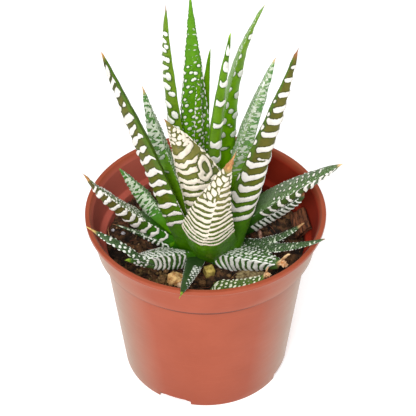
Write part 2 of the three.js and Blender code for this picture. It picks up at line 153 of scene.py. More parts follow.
# Leaves. Along a leaf, 0 is its base and 1 its point. Around it, 0 is the keel, -1 and 1 are the margins
# and -2 and 2 the middle of its face. A part of the values is written in groups, which say in this order:
# line: azimuth, root, foot, reach and tip place base and point, shift, bow and sway bend it, as in the solids
# blade: width, thickness over width, roll, how long it stays full and how sharply it ends, as in the solids
# banding: how wide, uneven and broken the white bands are
# dots and teeth: spacing and radius, and for dots the zone round the leaf and where along it they start
# dry: where the withered or green tip starts, and its colour
GROUPS = dict(
    line=("azimuth", "root", "foot", "reach", "tip", "shift", "bow", "sway"),
    blade=("width", "thick", "roll", "full", "sharp"),
    banding=("thick_band", "ragged", "split"),
    dots=("dots", "dot", "dots_zone", "dots_from"),
    teeth=("teeth", "tooth"),
    dry=("dry", "dry_colour"),
)
# The other values:
# origin: where it grows, other than in the pot's middle
# fresh: where its bright base ends; burn: where browning of the whole leaf starts, and its most
# sun: between which places around it browning grows, and its most; -4 and -3 are all over
# bands: their places along it; curve: 1 for straight bands, more for ones rounded at the keel
# peak: where around it bands lie highest; fall: their drop left and right, first low and then high on it
# stagger: from where on bands left of the peak lie between those on the right
# zone: what bands cover around it; zone_high: the same for bands past high_from
# blobs: single marks by place along and around it, then half their size across and along it
# loops: rings by place along and around it, radius, stretch along it and half the width of their line
# dots_gap: half the least gap between dots; dots_all: from where on they stand all round; dots_to: their end
# side: whether zones of dots and specks are on one side only; teeth_to: where the teeth end
# frost: pale bloom on the face; specks: how many fine squiggles, their zone and where along it they start
# pale: colour of squiggles; shrink and crumple: how withered the tip is; hook: how far it bends each way
# waist: width left at a narrowed base, and where that starts and ends; sink: how far that base sits lower
# flake: place, sizes and lift of a dead skin; far: hidden from the front, so less finely made
LEAF_DEFAULTS = dict(
    origin=(0, 0), fresh=0.3, sun=(-4, -3, 0.25), burn=(1, 0), bands=(), split=0, curve=1, peak=0,
    fall=(0, 0, 0, 0), stagger=None, zone=(-0.9, 0.9), zone_high=None, high_from=0.5, loops=(), blobs=(),
    dots=None, dots_zone=(-2, 2), dots_from=0.2, dots_gap=0.16, dots_all=2, dots_to=2, side=False,
    teeth=None, teeth_to=1, frost=0, specks=(), pale=(214, 224, 200), shrink=0.45, crumple=0.25,
    hook=(0, 0, 0), waist=(1, 0, 1), sink=0, flake=None, far=False)
FAR_LEAF = dict(teeth=(2, 0.5), dry=(0.95, ORANGE), far=True)
FAR_LOW_LEAF = dict(look=GREY, banding=(1.2, 0.6, 0.2), dots=(1.9, 0.42, (1, 2)), **FAR_LEAF)
FAR_HIGH_LEAF = dict(look=STRIPED, banding=(1.6, 0.6), dots=(1.8, 0.42, (1.1, 2)), **FAR_LEAF)
THIN_LEAF = dict(
    look=DARK, fresh=0.1, banding=(0.8, 0.6, 0.6), dots=(1.6, 0.2, (1, 2)), frost=0.15,
    specks=((0.3, 0.9, 2, 0.3),))
LEAVES = dict(
    leaf_01=dict(line=(261, 8.5, 59.5, 57.8, 82.3, -1, 0.4, 0), blade=(7, 0.32, -6, 1.6, 1.1), look=DARK,
        fresh=0.1, bands=(0.42, 0.5, 0.58, 0.66, 0.74, 0.82), banding=(0.8, 0.6, 0.5),
        dots=(1.5, 0.6, (0.7, 2), 0.3), side=True, teeth=(1.5, 0.35), dry=(0.87, LIME)),
    leaf_02=dict(line=(318, 8.5, 60.5, 40, 69.5, -1.5, -2, -1), blade=(17.5, 0.5, -16, 1.6, 0.8),
        look=GREY, bands=(0.1, 0.165, 0.23, 0.3, 0.37, 0.44, 0.51, 0.585, 0.66, 0.735, 0.81, 0.88),
        banding=(1.35, 1.1), peak=-1, fall=(0.12, 0.15, 0.12, 0.15), zone=(-1.05, 0.6),
        dots=(1.9, 0.6, (1.15, 2)), teeth=(2, 0.5), specks=((0.35, 1.1, 2, 0.1),), dry=(0.9, CREAM),
        shrink=0.15, crumple=0.7, hook=(0, 0, 4.6), flake=(0.94, (3.6, 2.8, 2.4), 0.4)),
    leaf_03=dict(line=(218, 8.5, 60, 37, 68.5, 1.5, -1, 1), blade=(15.5, 0.49, 26, 2.6, 1.1), look=GREY,
        bands=(0.34, 0.41, 0.48, 0.55, 0.615, 0.68, 0.735), banding=(0.78, 1), peak=1,
        fall=(0.14, 0.12, 0.14, 0.12), zone=(-0.25, 1), dots=(1.45, 0.6, (0.95, 2), 0.25), dots_all=0.74,
        dry=(0.955, LIME), shrink=0.1),
    leaf_04=dict(line=(331, 8.5, 60, 49.2, 80, 3, 1.3, -3.8), blade=(5.8, 0.38, 10, 1.6, 0.6),
        bands=(0.3, 0.42, 0.55, 0.68), teeth=(1.3, 0.5), dry=(0.97, BROWN), **THIN_LEAF),
    leaf_05=dict(line=(346, 8, 60.5, 37.5, 74.5, -1, 1, -5), blade=(5.5, 0.44, 0, 3, 0.6),
        bands=(0.35, 0.47, 0.6, 0.72), teeth=(1.2, 0.5), dry=(0.93, (206, 168, 120)), **THIN_LEAF),
    leaf_06=dict(line=(203, 8, 60.5, 47, 81.2, 3, 0.3, 10), blade=(6.6, 0.4, -16, 2.8, 0.8), look=DARK,
        fresh=0.15, bands=(0.34, 0.42, 0.5, 0.58, 0.66, 0.74, 0.83), banding=(1.1, 0.6, 0.4),
        dots=(2, 0.72, (0.9, 2)), teeth=(1.9, 0.55), frost=0.1, dry=(0.93, (226, 196, 116)),
        waist=(0.22, 0.4, 0.82), sink=5),
    leaf_07=dict(line=(180, 8, 60, 35, 66, 6, 0, 0), blade=(9, 0.44, 18, 1, 1.2), look=DARK,
        bands=(0.2, 0.27, 0.34, 0.41, 0.48, 0.55, 0.62, 0.7), banding=(0.8, 0.6, 0.35), teeth=(1.3, 0.5),
        frost=0.3, specks=((0.45, 0.7, 2, 0.2),), dry=(0.95, BROWN)),
    leaf_08=dict(line=(351, 8, 61, 36.5, 86, 2, 2, 3.5), blade=(10.4, 0.43, -10, 2.2, 0.5), look=DARK,
        bands=(0.3, 0.36, 0.42, 0.48, 0.54, 0.6, 0.66, 0.72, 0.78, 0.84, 0.9), banding=(1.25, 1), peak=-1,
        fall=(0.02, 0.04, 0.02, 0.04), zone=(-1.05, 0.3), teeth=(1.3, 0.5), frost=0.3,
        specks=((0.4, 0.8, 2, 0.2),), dry=(0.97, BROWN)),
    leaf_09=dict(line=(75, 8, 60, 37, 69, 0, 0, 3), blade=(11, 0.45, 10, 2, 1),
        bands=(0.25, 0.34, 0.43, 0.52, 0.61, 0.7, 0.78), **FAR_LOW_LEAF),
    leaf_10=dict(line=(112, 8, 60, 38, 70, 0, 1, -3), blade=(11, 0.45, -8, 2, 1),
        bands=(0.25, 0.33, 0.42, 0.5, 0.59, 0.68, 0.77), **FAR_LOW_LEAF),
    leaf_11=dict(line=(198, 7.5, 62, 46.5, 104, 0.5, 5.7, -7.5), blade=(15.4, 0.4, 14, 1.8, 1.6),
        look=WORN, sun=(-4, -3, 0.6),
        bands=(0.145, 0.215, 0.28, 0.355, 0.42, 0.495, 0.56, 0.635, 0.72, 0.785),
        banding=(1.75, 1.7, 0.12), peak=1, fall=(0.035, 0, 0.04, 0), zone=(-0.45, 1.02),
        dots=(1.8, 0.52, (1.1, 2), 0.3), teeth=(1.7, 0.5), frost=0.5, specks=((0.4, 0.95, 1.6, 0.3),),
        dry=(0.86, ORANGE)),
    leaf_12=dict(line=(350, 7.5, 62, 50, 102.5, 5, -4, -3.5), blade=(13.5, 0.41, -4, 3.7, 1.1),
        look=SHADED, fresh=0.35, bands=(0.42, 0.49, 0.565, 0.635, 0.7, 0.76, 0.81, 0.86, 0.91, 0.955),
        banding=(1.2, 1.3), peak=-1, fall=(0.04, 0.06, 0.04, 0.06), zone=(-1.05, 0.3),
        dots=(2.5, 0.5, (1.3, 2), 0.5), teeth=(1.5, 0.4), frost=0.32,
        specks=((0.3, 1, 1.35, 0.35), (0.12, 1.2, 2, 0.6)), dry=(0.97, CREAM)),
    leaf_13=dict(line=(168, 7, 62, 33, 87.5, 6.5, 2.5, -5.5), blade=(14, 0.43, 36, 2.5, 1.15), look=MINT,
        bands=(0.47, 0.53, 0.585, 0.64, 0.695, 0.75, 0.8, 0.85, 0.9), banding=(0.8, 1.1, 0.4), peak=1,
        fall=(0.07, 0.05, 0.07, 0.05), zone=(-0.9, 1.3), dots=(1.7, 0.36, (1.2, 2), 0.4), teeth=(1.6, 0.5),
        frost=0.3, specks=((0.6, -1.6, 1.4, 0.34), (0.4, 1, 2, 0.4)), dry=(0.98, LIME)),
    leaf_14=dict(line=(58, 7, 62, 31, 84, 0, 3, 0), blade=(13, 0.43, 0, 2, 1.1),
        bands=(0.28, 0.35, 0.42, 0.49, 0.56, 0.63, 0.7, 0.77, 0.84), fall=(0.05, 0.05, 0.05, 0.05),
        **FAR_HIGH_LEAF),
    leaf_15=dict(line=(92, 6.5, 63, 27, 96, 0, 3, 1), blade=(14, 0.42, 5, 2, 1.1),
        bands=(0.26, 0.33, 0.4, 0.47, 0.54, 0.61, 0.68, 0.75, 0.82, 0.88), fall=(0.06, 0.06, 0.06, 0.06),
        **FAR_HIGH_LEAF),
    leaf_16=dict(line=(128, 7, 62, 29, 82, 0, 3, -2), blade=(13, 0.43, -5, 2, 1.1),
        bands=(0.28, 0.355, 0.43, 0.5, 0.57, 0.64, 0.71, 0.78, 0.86), fall=(0.05, 0.05, 0.05, 0.05),
        **FAR_HIGH_LEAF),
    leaf_17=dict(line=(289, 6.5, 63, 33, 127, 1, 5, -7), blade=(20.5, 0.42, -24, 2.4, 1.45), look=CREAMY,
        fresh=0.4, burn=(0.42, 0.85),
        bands=(0.362, 0.4, 0.44, 0.478, 0.516, 0.554, 0.592, 0.63, 0.668, 0.706, 0.745, 0.785),
        banding=(1.27, 1.05), curve=2, fall=(0.06, 0.055, 0.055, 0), stagger=0.42, zone=(-1.05, 1.05),
        zone_high=(-0.04, 1.05), high_from=0.72, dots=(2.4, 1.6, (-1, -0.08), 0.66), dots_gap=0.26,
        dots_all=0.8, dry=(0.885, ORANGE), shrink=0.3, crumple=1.1),
    leaf_18=dict(line=(328, 6, 63, 36.5, 161.5, -2, 0.3, 0), blade=(19, 0.55, -4, 1, 0.9), look=STRIPED,
        sun=(-0.75, -0.55, 0.85),
        bands=(0.19, 0.24, 0.29, 0.345, 0.4, 0.46, 0.535, 0.605, 0.668, 0.725, 0.79, 0.855, 0.91),
        banding=(2.05, 0.9), peak=-0.54, fall=(-0.17, -0.11, 0.03, 0), zone=(-0.77, 0.8),
        zone_high=(-0.7, 0.8),
        blobs=((0.64, -0.86, 0.8, 1.3), (0.57, -0.87, 0.8, 1.4), (0.505, -0.88, 0.8, 1.5),
            (0.7, -0.84, 0.6, 0.9), (0.76, -0.8, 0.5, 0.8), (0.5, -0.4, 0.5, 0.5),
            (0.5, -0.28, 0.4, 0.4), (0.5, -0.15, 0.5, 0.4), (0.3, -0.88, 0.5, 3.2),
            (0.4, -0.88, 0.5, 1.6), (0.235, -0.86, 0.5, 1.4)),
        dry=(0.95, BROWN), shrink=0.5),
    leaf_19=dict(line=(204, 6, 63, 38, 156.5, 2, 0, 6), blade=(16, 0.43, -4, 1.55, 0.8), look=STRIPED,
        sun=(0.75, 0.5, 0.7),
        bands=(0.215, 0.27, 0.325, 0.395, 0.445, 0.5, 0.56, 0.61, 0.66, 0.7, 0.745, 0.8, 0.855, 0.895, 0.94),
        banding=(1.7, 1.5, 0.2), peak=0.6, fall=(0.09, -0.02, 0.05, 0.06), zone=(-0.85, 0.88),
        zone_high=(-0.8, 0.7), high_from=0.6, teeth=(0.9, 0.4), teeth_to=0.36, dry=(0.975, ORANGE)),
    leaf_20=dict(line=(236, 5.5, 64, 25.5, 133, 7, -2, 4.5), blade=(17, 0.42, 38, 4, 1.4), look=CREAMY,
        sun=(-4, -3, 0.2), burn=(0.5, 0.8),
        bands=(0.33, 0.4, 0.47, 0.534, 0.587, 0.631, 0.694, 0.735, 0.788), banding=(1.9, 1.2),
        fall=(0.13, 0.5, 0.02, -0.15), zone=(-0.95, 0.92), zone_high=(-0.92, 0.8), high_from=0.64,
        loops=((0.655, 0.42, 1.5, 2.5, 0.44),),
        blobs=((0.83, 0.45, 1.3, 0.8), (0.735, 0.88, 0.9, 0.9), (0.685, 0.88, 0.9, 1.1),
            (0.62, 0.88, 0.9, 1.1), (0.86, 0.6, 0.8, 0.7)),
        dots=(1.75, 0.95, (-2, 2), 0.82), teeth=(1.2, 0.62), dry=(0.965, BROWN)),
    leaf_21=dict(line=(170, 5, 64, 23, 128.5, -2.5, -2, 4.5), blade=(17, 0.42, 22, 2.6, 1.15), look=MINT_LIT_BASE,
        fresh=0.52, bands=(0.54, 0.58, 0.625, 0.665, 0.71, 0.75, 0.79, 0.83, 0.87, 0.91),
        banding=(0.85, 1.1, 0.42), peak=1, fall=(0.04, 0.04, 0.08, 0.04), zone=(-0.9, 1.5),
        dots=(1.8, 0.45, (1.3, 2)), teeth=(1.7, 0.5), frost=0.3,
        specks=((0.5, -1, 1.6, 0.58), (0.6, 1, 2, 0.38)), dry=(0.95, CREAM)),
    leaf_22=dict(line=(20, 5, 65, 26.5, 136.5, 0, -3.3, 0), blade=(15, 0.42, -28, 2.6, 0.95), look=FROSTED,
        fresh=0.45, sun=(-0.25, -0.85, 0.9), dots=(1.6, 0.34, (-1.9, -0.5), 0.42), teeth=(1.4, 0.5),
        frost=1, specks=((0.6, -0.95, -0.05, 0.35), (0.4, 1.2, 2, 0.3)), dry=(0.97, CREAM)),
    leaf_23=dict(line=(22, 4, 66, 22, 159, -6, -2, 11.5), blade=(14, 0.44, -24, 2.3, 1.45), look=YELLOWED,
        fresh=0.65,
        blobs=((0.84, -0.2, 0.8, 1.2), (0.665, -0.2, 1.1, 1.6), (0.565, -0.2, 1.2, 1.5),
            (0.475, -0.2, 1.2, 1.4), (0.393, -0.2, 1.4, 1.3), (0.32, -0.2, 1.5, 1.2),
            (0.67, -0.85, 0.9, 1.2), (0.6, -0.88, 1.1, 1.1), (0.53, -0.85, 1, 1.4),
            (0.5, -0.5, 0.9, 0.9), (0.46, -0.85, 1.1, 1.4), (0.4, -0.82, 1.3, 1.3),
            (0.75, -0.85, 0.8, 1.2), (0.34, -0.7, 1.8, 0.7), (0.44, -0.5, 0.5, 0.4),
            (0.43, -0.4, 0.4, 0.3)),
        frost=0.5, specks=((0.3, 1, 1.8, 0.6),), pale=(226, 236, 208), dry=(0.985, CREAM)),
    leaf_24=dict(line=(113, 4, 66, 13.5, 160.5, 2, -2, 0.5), blade=(16, 0.4, -6, 1.3, 0.9), look=BRIGHT,
        fresh=0.4, bands=(0.3, 0.38, 0.46, 0.54, 0.62, 0.7, 0.78, 0.86), banding=(1.8, 0.6),
        zone=(-0.85, 0.85), dots=(2.55, 0.58, (1.15, 2)), dots_to=0.74, teeth=(2.9, 0.95),
        specks=((0.16, 1, 2, 0.2),), dry=(0.985, LIME)),
    leaf_25=dict(line=(200, 3, 67, 14, 168, 3.5, 0, -10), blade=(9, 0.38, 4, 3.8, 1.3), look=BRIGHT,
        sun=(-4, -3, 0.75), bands=(0.4, 0.46, 0.53, 0.615, 0.66, 0.7, 0.74, 0.78, 0.82, 0.85),
        banding=(2.5, 1.8, 0.1), zone=(-0.6, 0.42),
        blobs=((0.74, 0.43, 0.7, 1.4), (0.665, 0.42, 0.8, 1.9), (0.585, 0.52, 1, 1.1),
            (0.49, 0.5, 1, 1.9), (0.8, 0.42, 0.6, 1), (0.86, 0.4, 0.6, 1), (0.43, 0.5, 0.9, 1.2)),
        dry=(0.965, BROWN)),
    leaf_26=dict(line=(335, 2.5, 68, 9.5, 156, -2.5, -1, -4.5), blade=(9.3, 0.41, 14, 2.5, 0.8), look=LIMY,
        bands=(0.25, 0.33, 0.42, 0.495, 0.59, 0.69, 0.773, 0.84, 0.9), banding=(2.2, 2.3, 0.05),
        fall=(-0.03, 0, -0.035, 0), dry=(0.985, LIME)),
    leaf_27=dict(line=(78, 2, 69, 8.5, 141, 0, 4, 2.5), blade=(5, 0.42, 0, 1.9, 0.8), look=LIMY,
        dry=(0.99, LIME)),
    leaf_28=dict(line=(120, 1.5, 69, 4.5, 133, 0, -1, 1.5), blade=(4.6, 0.42, 3, 1.9, 0.55), look=LIMY,
        fresh=0.9, dots=(1.9, 0.8), teeth=(2, 0.75), dry=(0.99, LIME)),
    leaf_offset=dict(origin=(2.5, -27.5), line=(356, 0, 59.8, 20.5, 67.5, 0, 1.2, -1.5),
        blade=(9.5, 0.5, -12, 2.4, 0.8), look=YOUNG, fresh=-0.5, dots=(2.2, 0.68, (-2, 2), -0.3),
        teeth=(1.8, 0.5), dry=(0.9, CREAM), shrink=0.2, crumple=0.6, hook=(1.5, 0, 2.4),
        waist=(0.25, -0.08, 0.1), flake=(0.97, (2.6, 1.6, 1.8), 0.2)),
)

# Stones: centre, sizes, turn, tilt and how block-like, as in the solids, then two colours
STONES = {
    "stone_tan": ((-11.2, -23.7, 60), (6.4, 5, 5.4), 20, 0, 0.5, (244, 204, 136), (168, 112, 56)),
    "stone_small": ((-16, -22.8, 58.8), (3.4, 3, 3), 50, 0, 0.5, (140, 102, 56), (78, 52, 26)),
    "stone_block": ((1.3, -20, 60.2), (4.4, 4, 5), 25, 15, 1.1, (212, 190, 96), (140, 118, 44)),
    "stone_flat": ((16.4, -20.6, 58.9), (11, 5, 3), 4, 0, 0.6, (168, 150, 106), (96, 78, 44)),
}
BARK = dict(radius=36.5, height=61.55, azimuth=9, lean=38, length=12, width=7, depth=1.6, ribs=4)
BARK_RINGS = 40


# Repeatable smooth noise

def lattice(cells, seed):
    """Repeatable value from -1 to 1 for whole-number cells, whose last axis holds three numbers."""
    wave = np.sin(cells @ np.array([127.1, 311.7, 74.7]) + seed * 57.31) * 43758.5453
    return 2 * (wave - np.floor(wave)) - 1


def smooth_noise(points, size, seed):
    """Smooth noise from about -1 to 1 at points, with lumps of the given size."""
    scaled = np.asarray(points, float) / size
    cell = np.floor(scaled)
    part = scaled - cell
    part = part * part * (3 - 2 * part)
    total = 0
    for corner in range(8):
        step = np.array([corner & 1, corner >> 1 & 1, corner >> 2 & 1])
        weight = np.prod(np.where(step, part, 1 - part), axis=-1)
        total = total + weight * lattice(cell + step, seed)
    return total


def layered_noise(points, size, seed, layers=3):
    """Smooth noise with finer and weaker noise on top of it."""
    return sum(smooth_noise(points, size / 2**layer, seed + layer) / 2**layer for layer in range(layers))


def line_noise(place, size, row):
    """Smooth noise along one direction, different on each row."""
    spread = np.zeros(np.shape(place) + (3,))
    spread[..., 0] = place
    spread[..., 1] = row * size
    return smooth_noise(spread, size, 5)


def ramp(value, low, high):
    """0 at low and beyond, 1 at high and beyond, and smooth between them."""
    share = np.clip((value - low) / (high - low), 0, 1)
    return share * share * (3 - 2 * share)


def past(value, place, blur):
    """0 before a place, 1 after it and smooth across a blur on both sides."""
    return ramp(value, place - blur, place + blur)


# Points

def directions(degrees):
    """Outwards and sideways at an azimuth, and up."""
    turn = math.radians(degrees)
    out = np.array([math.cos(turn), math.sin(turn), 0])
    side = np.array([-math.sin(turn), math.cos(turn), 0])
    return out, side, np.array([0, 0, 1.0])


def turned(points, degrees, first, second):
    """Points turned from one axis towards another; 0, 1 and 2 are x, y and z."""
    matrix = np.eye(3)
    turn = math.radians(degrees)
    matrix[first, first] = matrix[second, second] = math.cos(turn)
    matrix[second, first] = math.sin(turn)
    matrix[first, second] = -math.sin(turn)
    return points @ matrix.T


def turn_about_z(points, degrees):
    return turned(points, degrees, 0, 1)


def turn_about_x(points, degrees):
    return turned(points, degrees, 1, 2)


def askew(points):
    """Points turned so that the rows of the noise's grid don't show."""
    return turn_about_x(turn_about_z(points, 34), 41)


def even_turns(sides):
    return np.linspace(0, 2 * math.pi, sides, endpoint=False)


def circle(radius, turns, height):
    """Points round the z axis."""
    return np.stack([radius * np.cos(turns), radius * np.sin(turns), height + 0 * turns], -1)


def capped(rings):
    """Points of rings, with the middle of the first before them and of the last after them."""
    rings = np.asarray(rings)
    return np.concatenate([rings[0].mean(0)[None], rings.reshape(-1, 3), rings[-1].mean(0)[None]])


def ball_points(level):
    work = bmesh.new()
    bmesh.ops.create_icosphere(work, subdivisions=level, radius=1)
    points = np.array([vertex.co for vertex in work.verts])
    faces = [tuple(vertex.index for vertex in face.verts) for face in work.faces]
    work.free()
    return points, faces


def tube_faces(rings, sides):
    """Faces of a closed skin through rings of points, with a point before the first and after the last."""
    last = 1 + rings * sides
    faces = []
    for side in range(sides):
        after = (side + 1) % sides
        faces.append((0, 1 + after, 1 + side))
        for ring in range(rings - 1):
            low = 1 + ring * sides
            high = low + sides
            faces.append((low + side, low + after, high + after, high + side))
        low = last - sides
        faces.append((low + side, low + after, last))
    return faces


# Pieces

def mesh_piece(name, points, faces, material, smooth=True):
    """Object from points in millimetres."""
    mesh = bpy.data.meshes.new(name)
    mesh.from_pydata((np.asarray(points, float) * MM).tolist(), [], faces)
    mesh.update()
    mesh.polygons.foreach_set("use_smooth", [smooth] * len(mesh.polygons))
    piece = bpy.data.objects.new(name, mesh)
    bpy.context.scene.collection.objects.link(piece)
    if material:
        mesh.materials.append(material)
    return piece


def tube_piece(name, points, sides, material=None):
    """Object with a closed skin through rings of points, its faces turned outwards."""
    piece = mesh_piece(name, points, tube_faces((len(points) - 2) // sides, sides), material)
    outwards(piece)
    return piece


def outwards(piece):
    work = bmesh.new()
    work.from_mesh(piece.data)
    bmesh.ops.recalc_face_normals(work, faces=work.faces)
    work.to_mesh(piece.data)
    work.free()


def keep_sharp(piece, angle):
    """Smooth shading except at edges that bend more than an angle."""
    work = bmesh.new()
    work.from_mesh(piece.data)
    for face in work.faces:
        face.smooth = True
    for edge in work.edges:
        edge.smooth = edge.calc_face_angle(0) < math.radians(angle)
    work.to_mesh(piece.data)
    work.free()


def cut_out(piece, tools):
    """Cuts the forms of tools out of a piece and removes the tools."""
    for tool in tools:
        cut = piece.modifiers.new("cut", "BOOLEAN")
        cut.operation = "DIFFERENCE"
        cut.solver = "EXACT"
        cut.object = tool
    graph = bpy.context.evaluated_depsgraph_get()
    mesh = bpy.data.meshes.new_from_object(piece.evaluated_get(graph))
    piece.modifiers.clear()
    piece.data = mesh
    for tool in tools:
        bpy.data.objects.remove(tool)


def add_values(piece, **named):
    """Values at each point, for the materials. Where a skin's two ends have none, they get their ring's."""
    for name, values in named.items():
        values = np.asarray(values, np.float32).ravel()
        if len(values) < len(piece.data.vertices):
            values = np.concatenate([values[:1], values, values[-1:]])
        attribute = piece.data.attributes.new(name, "FLOAT", "POINT")
        attribute.data.foreach_set("value", values)


def hand_over(piece, node=None):
    """The piece rides on the plant's body and may stand for a node, whose part it hides."""
    if node:
        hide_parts(node)
    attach(piece, "root")


# Materials

class Nodes:
    """Short calls for building a node material."""

    def __init__(self, name):
        self.material = bpy.data.materials.new(name)
        self.material.use_nodes = True
        self.tree = self.material.node_tree
        self.surface = self.tree.nodes["Principled BSDF"]

    def plug(self, value, socket):
        """Gives a socket a link, a plain value, or a colour as three numbers of the screen."""
        if isinstance(value, bpy.types.NodeSocket):
            self.tree.links.new(value, socket)
        elif socket.type == "RGBA" and len(value) == 3:
            socket.default_value = paint(*value)
        else:
            socket.default_value = value

    def node(self, kind, output, inputs=None, **settings):
        """Output of a new node, from its inputs by name or number and its other settings."""
        node = self.tree.nodes.new("ShaderNode" + kind)
        for name, value in settings.items():
            setattr(node, name, value)
        for name, value in (inputs or {}).items():
            self.plug(value, node.inputs[name])
        return node.outputs[output]

    def attribute(self, name):
        return self.node("Attribute", "Fac", attribute_name=name)

    def place(self):
        return self.node("TexCoord", "Object")

    def height(self):
        """Height above the floor in millimetres."""
        return self.times(self.node("SeparateXYZ", "Z", {0: self.place()}), 1 / MM)

    def noise(self, size, detail, rough=0.55, stretch=None):
        """Noise with lumps of a size in millimetres."""
        place = self.place()
        if stretch:
            place = self.node("Mapping", "Vector", {"Vector": place, "Scale": stretch})
        scale = 1 / (size * MM)
        return self.node(
            "TexNoise", "Fac", {"Vector": place, "Scale": scale, "Detail": detail, "Roughness": rough})

    def noise_along(self, along, across, size):
        """Noise in two measures in millimetres, with lumps of a size along and across."""
        scaled = {"X": self.times(along, 1 / size[0]), "Y": self.times(across, 1 / size[1])}
        place = self.node("CombineXYZ", "Vector", scaled)
        return self.node("TexNoise", "Fac", {"Vector": place, "Scale": 1, "Detail": 2})

    def math(self, operation, first, second):
        return self.node("Math", 0, {0: first, 1: second}, operation=operation)

    def times(self, first, second):
        return self.math("MULTIPLY", first, second)

    def plus(self, first, second):
        return self.math("ADD", first, second)

    def fit(self, value, low, high, to_low=0.0, to_high=1.0):
        """A value's range from low to high, moved to another range and held within it."""
        inputs = {"Value": value, "From Min": low, "From Max": high, "To Min": to_low, "To Max": to_high}
        return self.node("MapRange", "Result", inputs)

    def mix(self, share, first, second, blend="MIX"):
        """Two colours mixed; 6, 7 and 2 are the colour sockets of the node."""
        return self.node("Mix", 2, {0: share, 6: first, 7: second}, data_type="RGBA", blend_type=blend)

    def shade(self, colour, red, green, blue):
        """A colour with only a share of its red, green and blue left."""
        return self.mix(1.0, colour, (red, green, blue, 1), "MULTIPLY")

    def bump(self, height, depth, strength, under=None):
        """Bump with a depth in millimetres."""
        inputs = {"Strength": strength, "Distance": depth * MM, "Height": height}
        if under:
            inputs["Normal"] = under
        return self.node("Bump", "Normal", inputs)

    def finish(self, colour, roughness, normal=None, **sockets):
        if normal:
            sockets["Normal"] = normal
        sockets.update(Base_Color=colour, Roughness=roughness)
        for name, value in sockets.items():
            self.plug(value, self.surface.inputs[name.replace("_", " ")])
        return self.material


def leaf_material(name, leaf):
    """Fleshy leaf: bright at its base, darker or browned above, with white marks and a dry tip."""
    nodes = Nodes(name)
    look = leaf["look"]
    mottle = nodes.noise(2.6, 4)
    patches = nodes.fit(mottle, 0.3, 0.55)
    grain = nodes.noise(0.5, 2)
    body = nodes.mix(nodes.attribute("fresh"), look["deep"], look["fresh"])
    body = nodes.mix(nodes.attribute("sun"), body, look["sun"])
    body = nodes.mix(nodes.fit(mottle, 0.35, 0.6), nodes.shade(body, 0.72, 0.78, 0.7), body)
    frost = nodes.times(nodes.attribute("frost"), nodes.fit(grain, 0.35, 0.65))
    body = nodes.mix(frost, body, FROST_COLOUR)

    # A dark rim of painted shade round each raised mark, and the same dark rim round each fine pale squiggle
    mark = nodes.attribute("mark")
    painted_shade_rim = nodes.shade(body, 0.42, 0.52, 0.36)
    body = nodes.mix(nodes.fit(mark, -0.55, -0.12), body, painted_shade_rim)
    speck = nodes.attribute("speck")
    speckled = nodes.fit(speck, 0.0, 0.1)
    squiggle = nodes.noise_along(nodes.attribute("along"), nodes.attribute("across"), (1.1, 2.8))
    deep_in = nodes.plus(squiggle, nodes.fit(speck, 0, 1, -0.68, -0.38))
    round_squiggle = nodes.times(nodes.fit(deep_in, -0.07, -0.01), speckled)
    body = nodes.mix(nodes.times(round_squiggle, 0.6), body, painted_shade_rim)
    body = nodes.mix(nodes.times(nodes.fit(deep_in, 0.0, 0.04), speckled), body, leaf["pale"])

    edge = nodes.plus(mark, nodes.fit(grain, 0.3, 0.7, -0.08, 0.08))
    dusty = [0.92 * value for value in look["mark"]]
    chalk = nodes.mix(patches, dusty, look["mark"])
    colour = nodes.mix(nodes.fit(edge, -0.05, 0.06), body, chalk)
    deep_dry = DEEP_LIME if leaf["dry_colour"] == LIME else DEEP_BROWN
    dry = nodes.mix(patches, deep_dry, leaf["dry_colour"])
    colour = nodes.mix(nodes.attribute("dry"), colour, dry)
    roughness = nodes.fit(edge, -0.05, 0.06, 0.42, 0.7)
    return nodes.finish(
        colour, roughness, nodes.bump(grain, 0.06, 0.5), Subsurface_Weight=0.1, Subsurface_Scale=0.001,
        Subsurface_Radius=(1, 1, 1), Specular_IOR_Level=0.22)


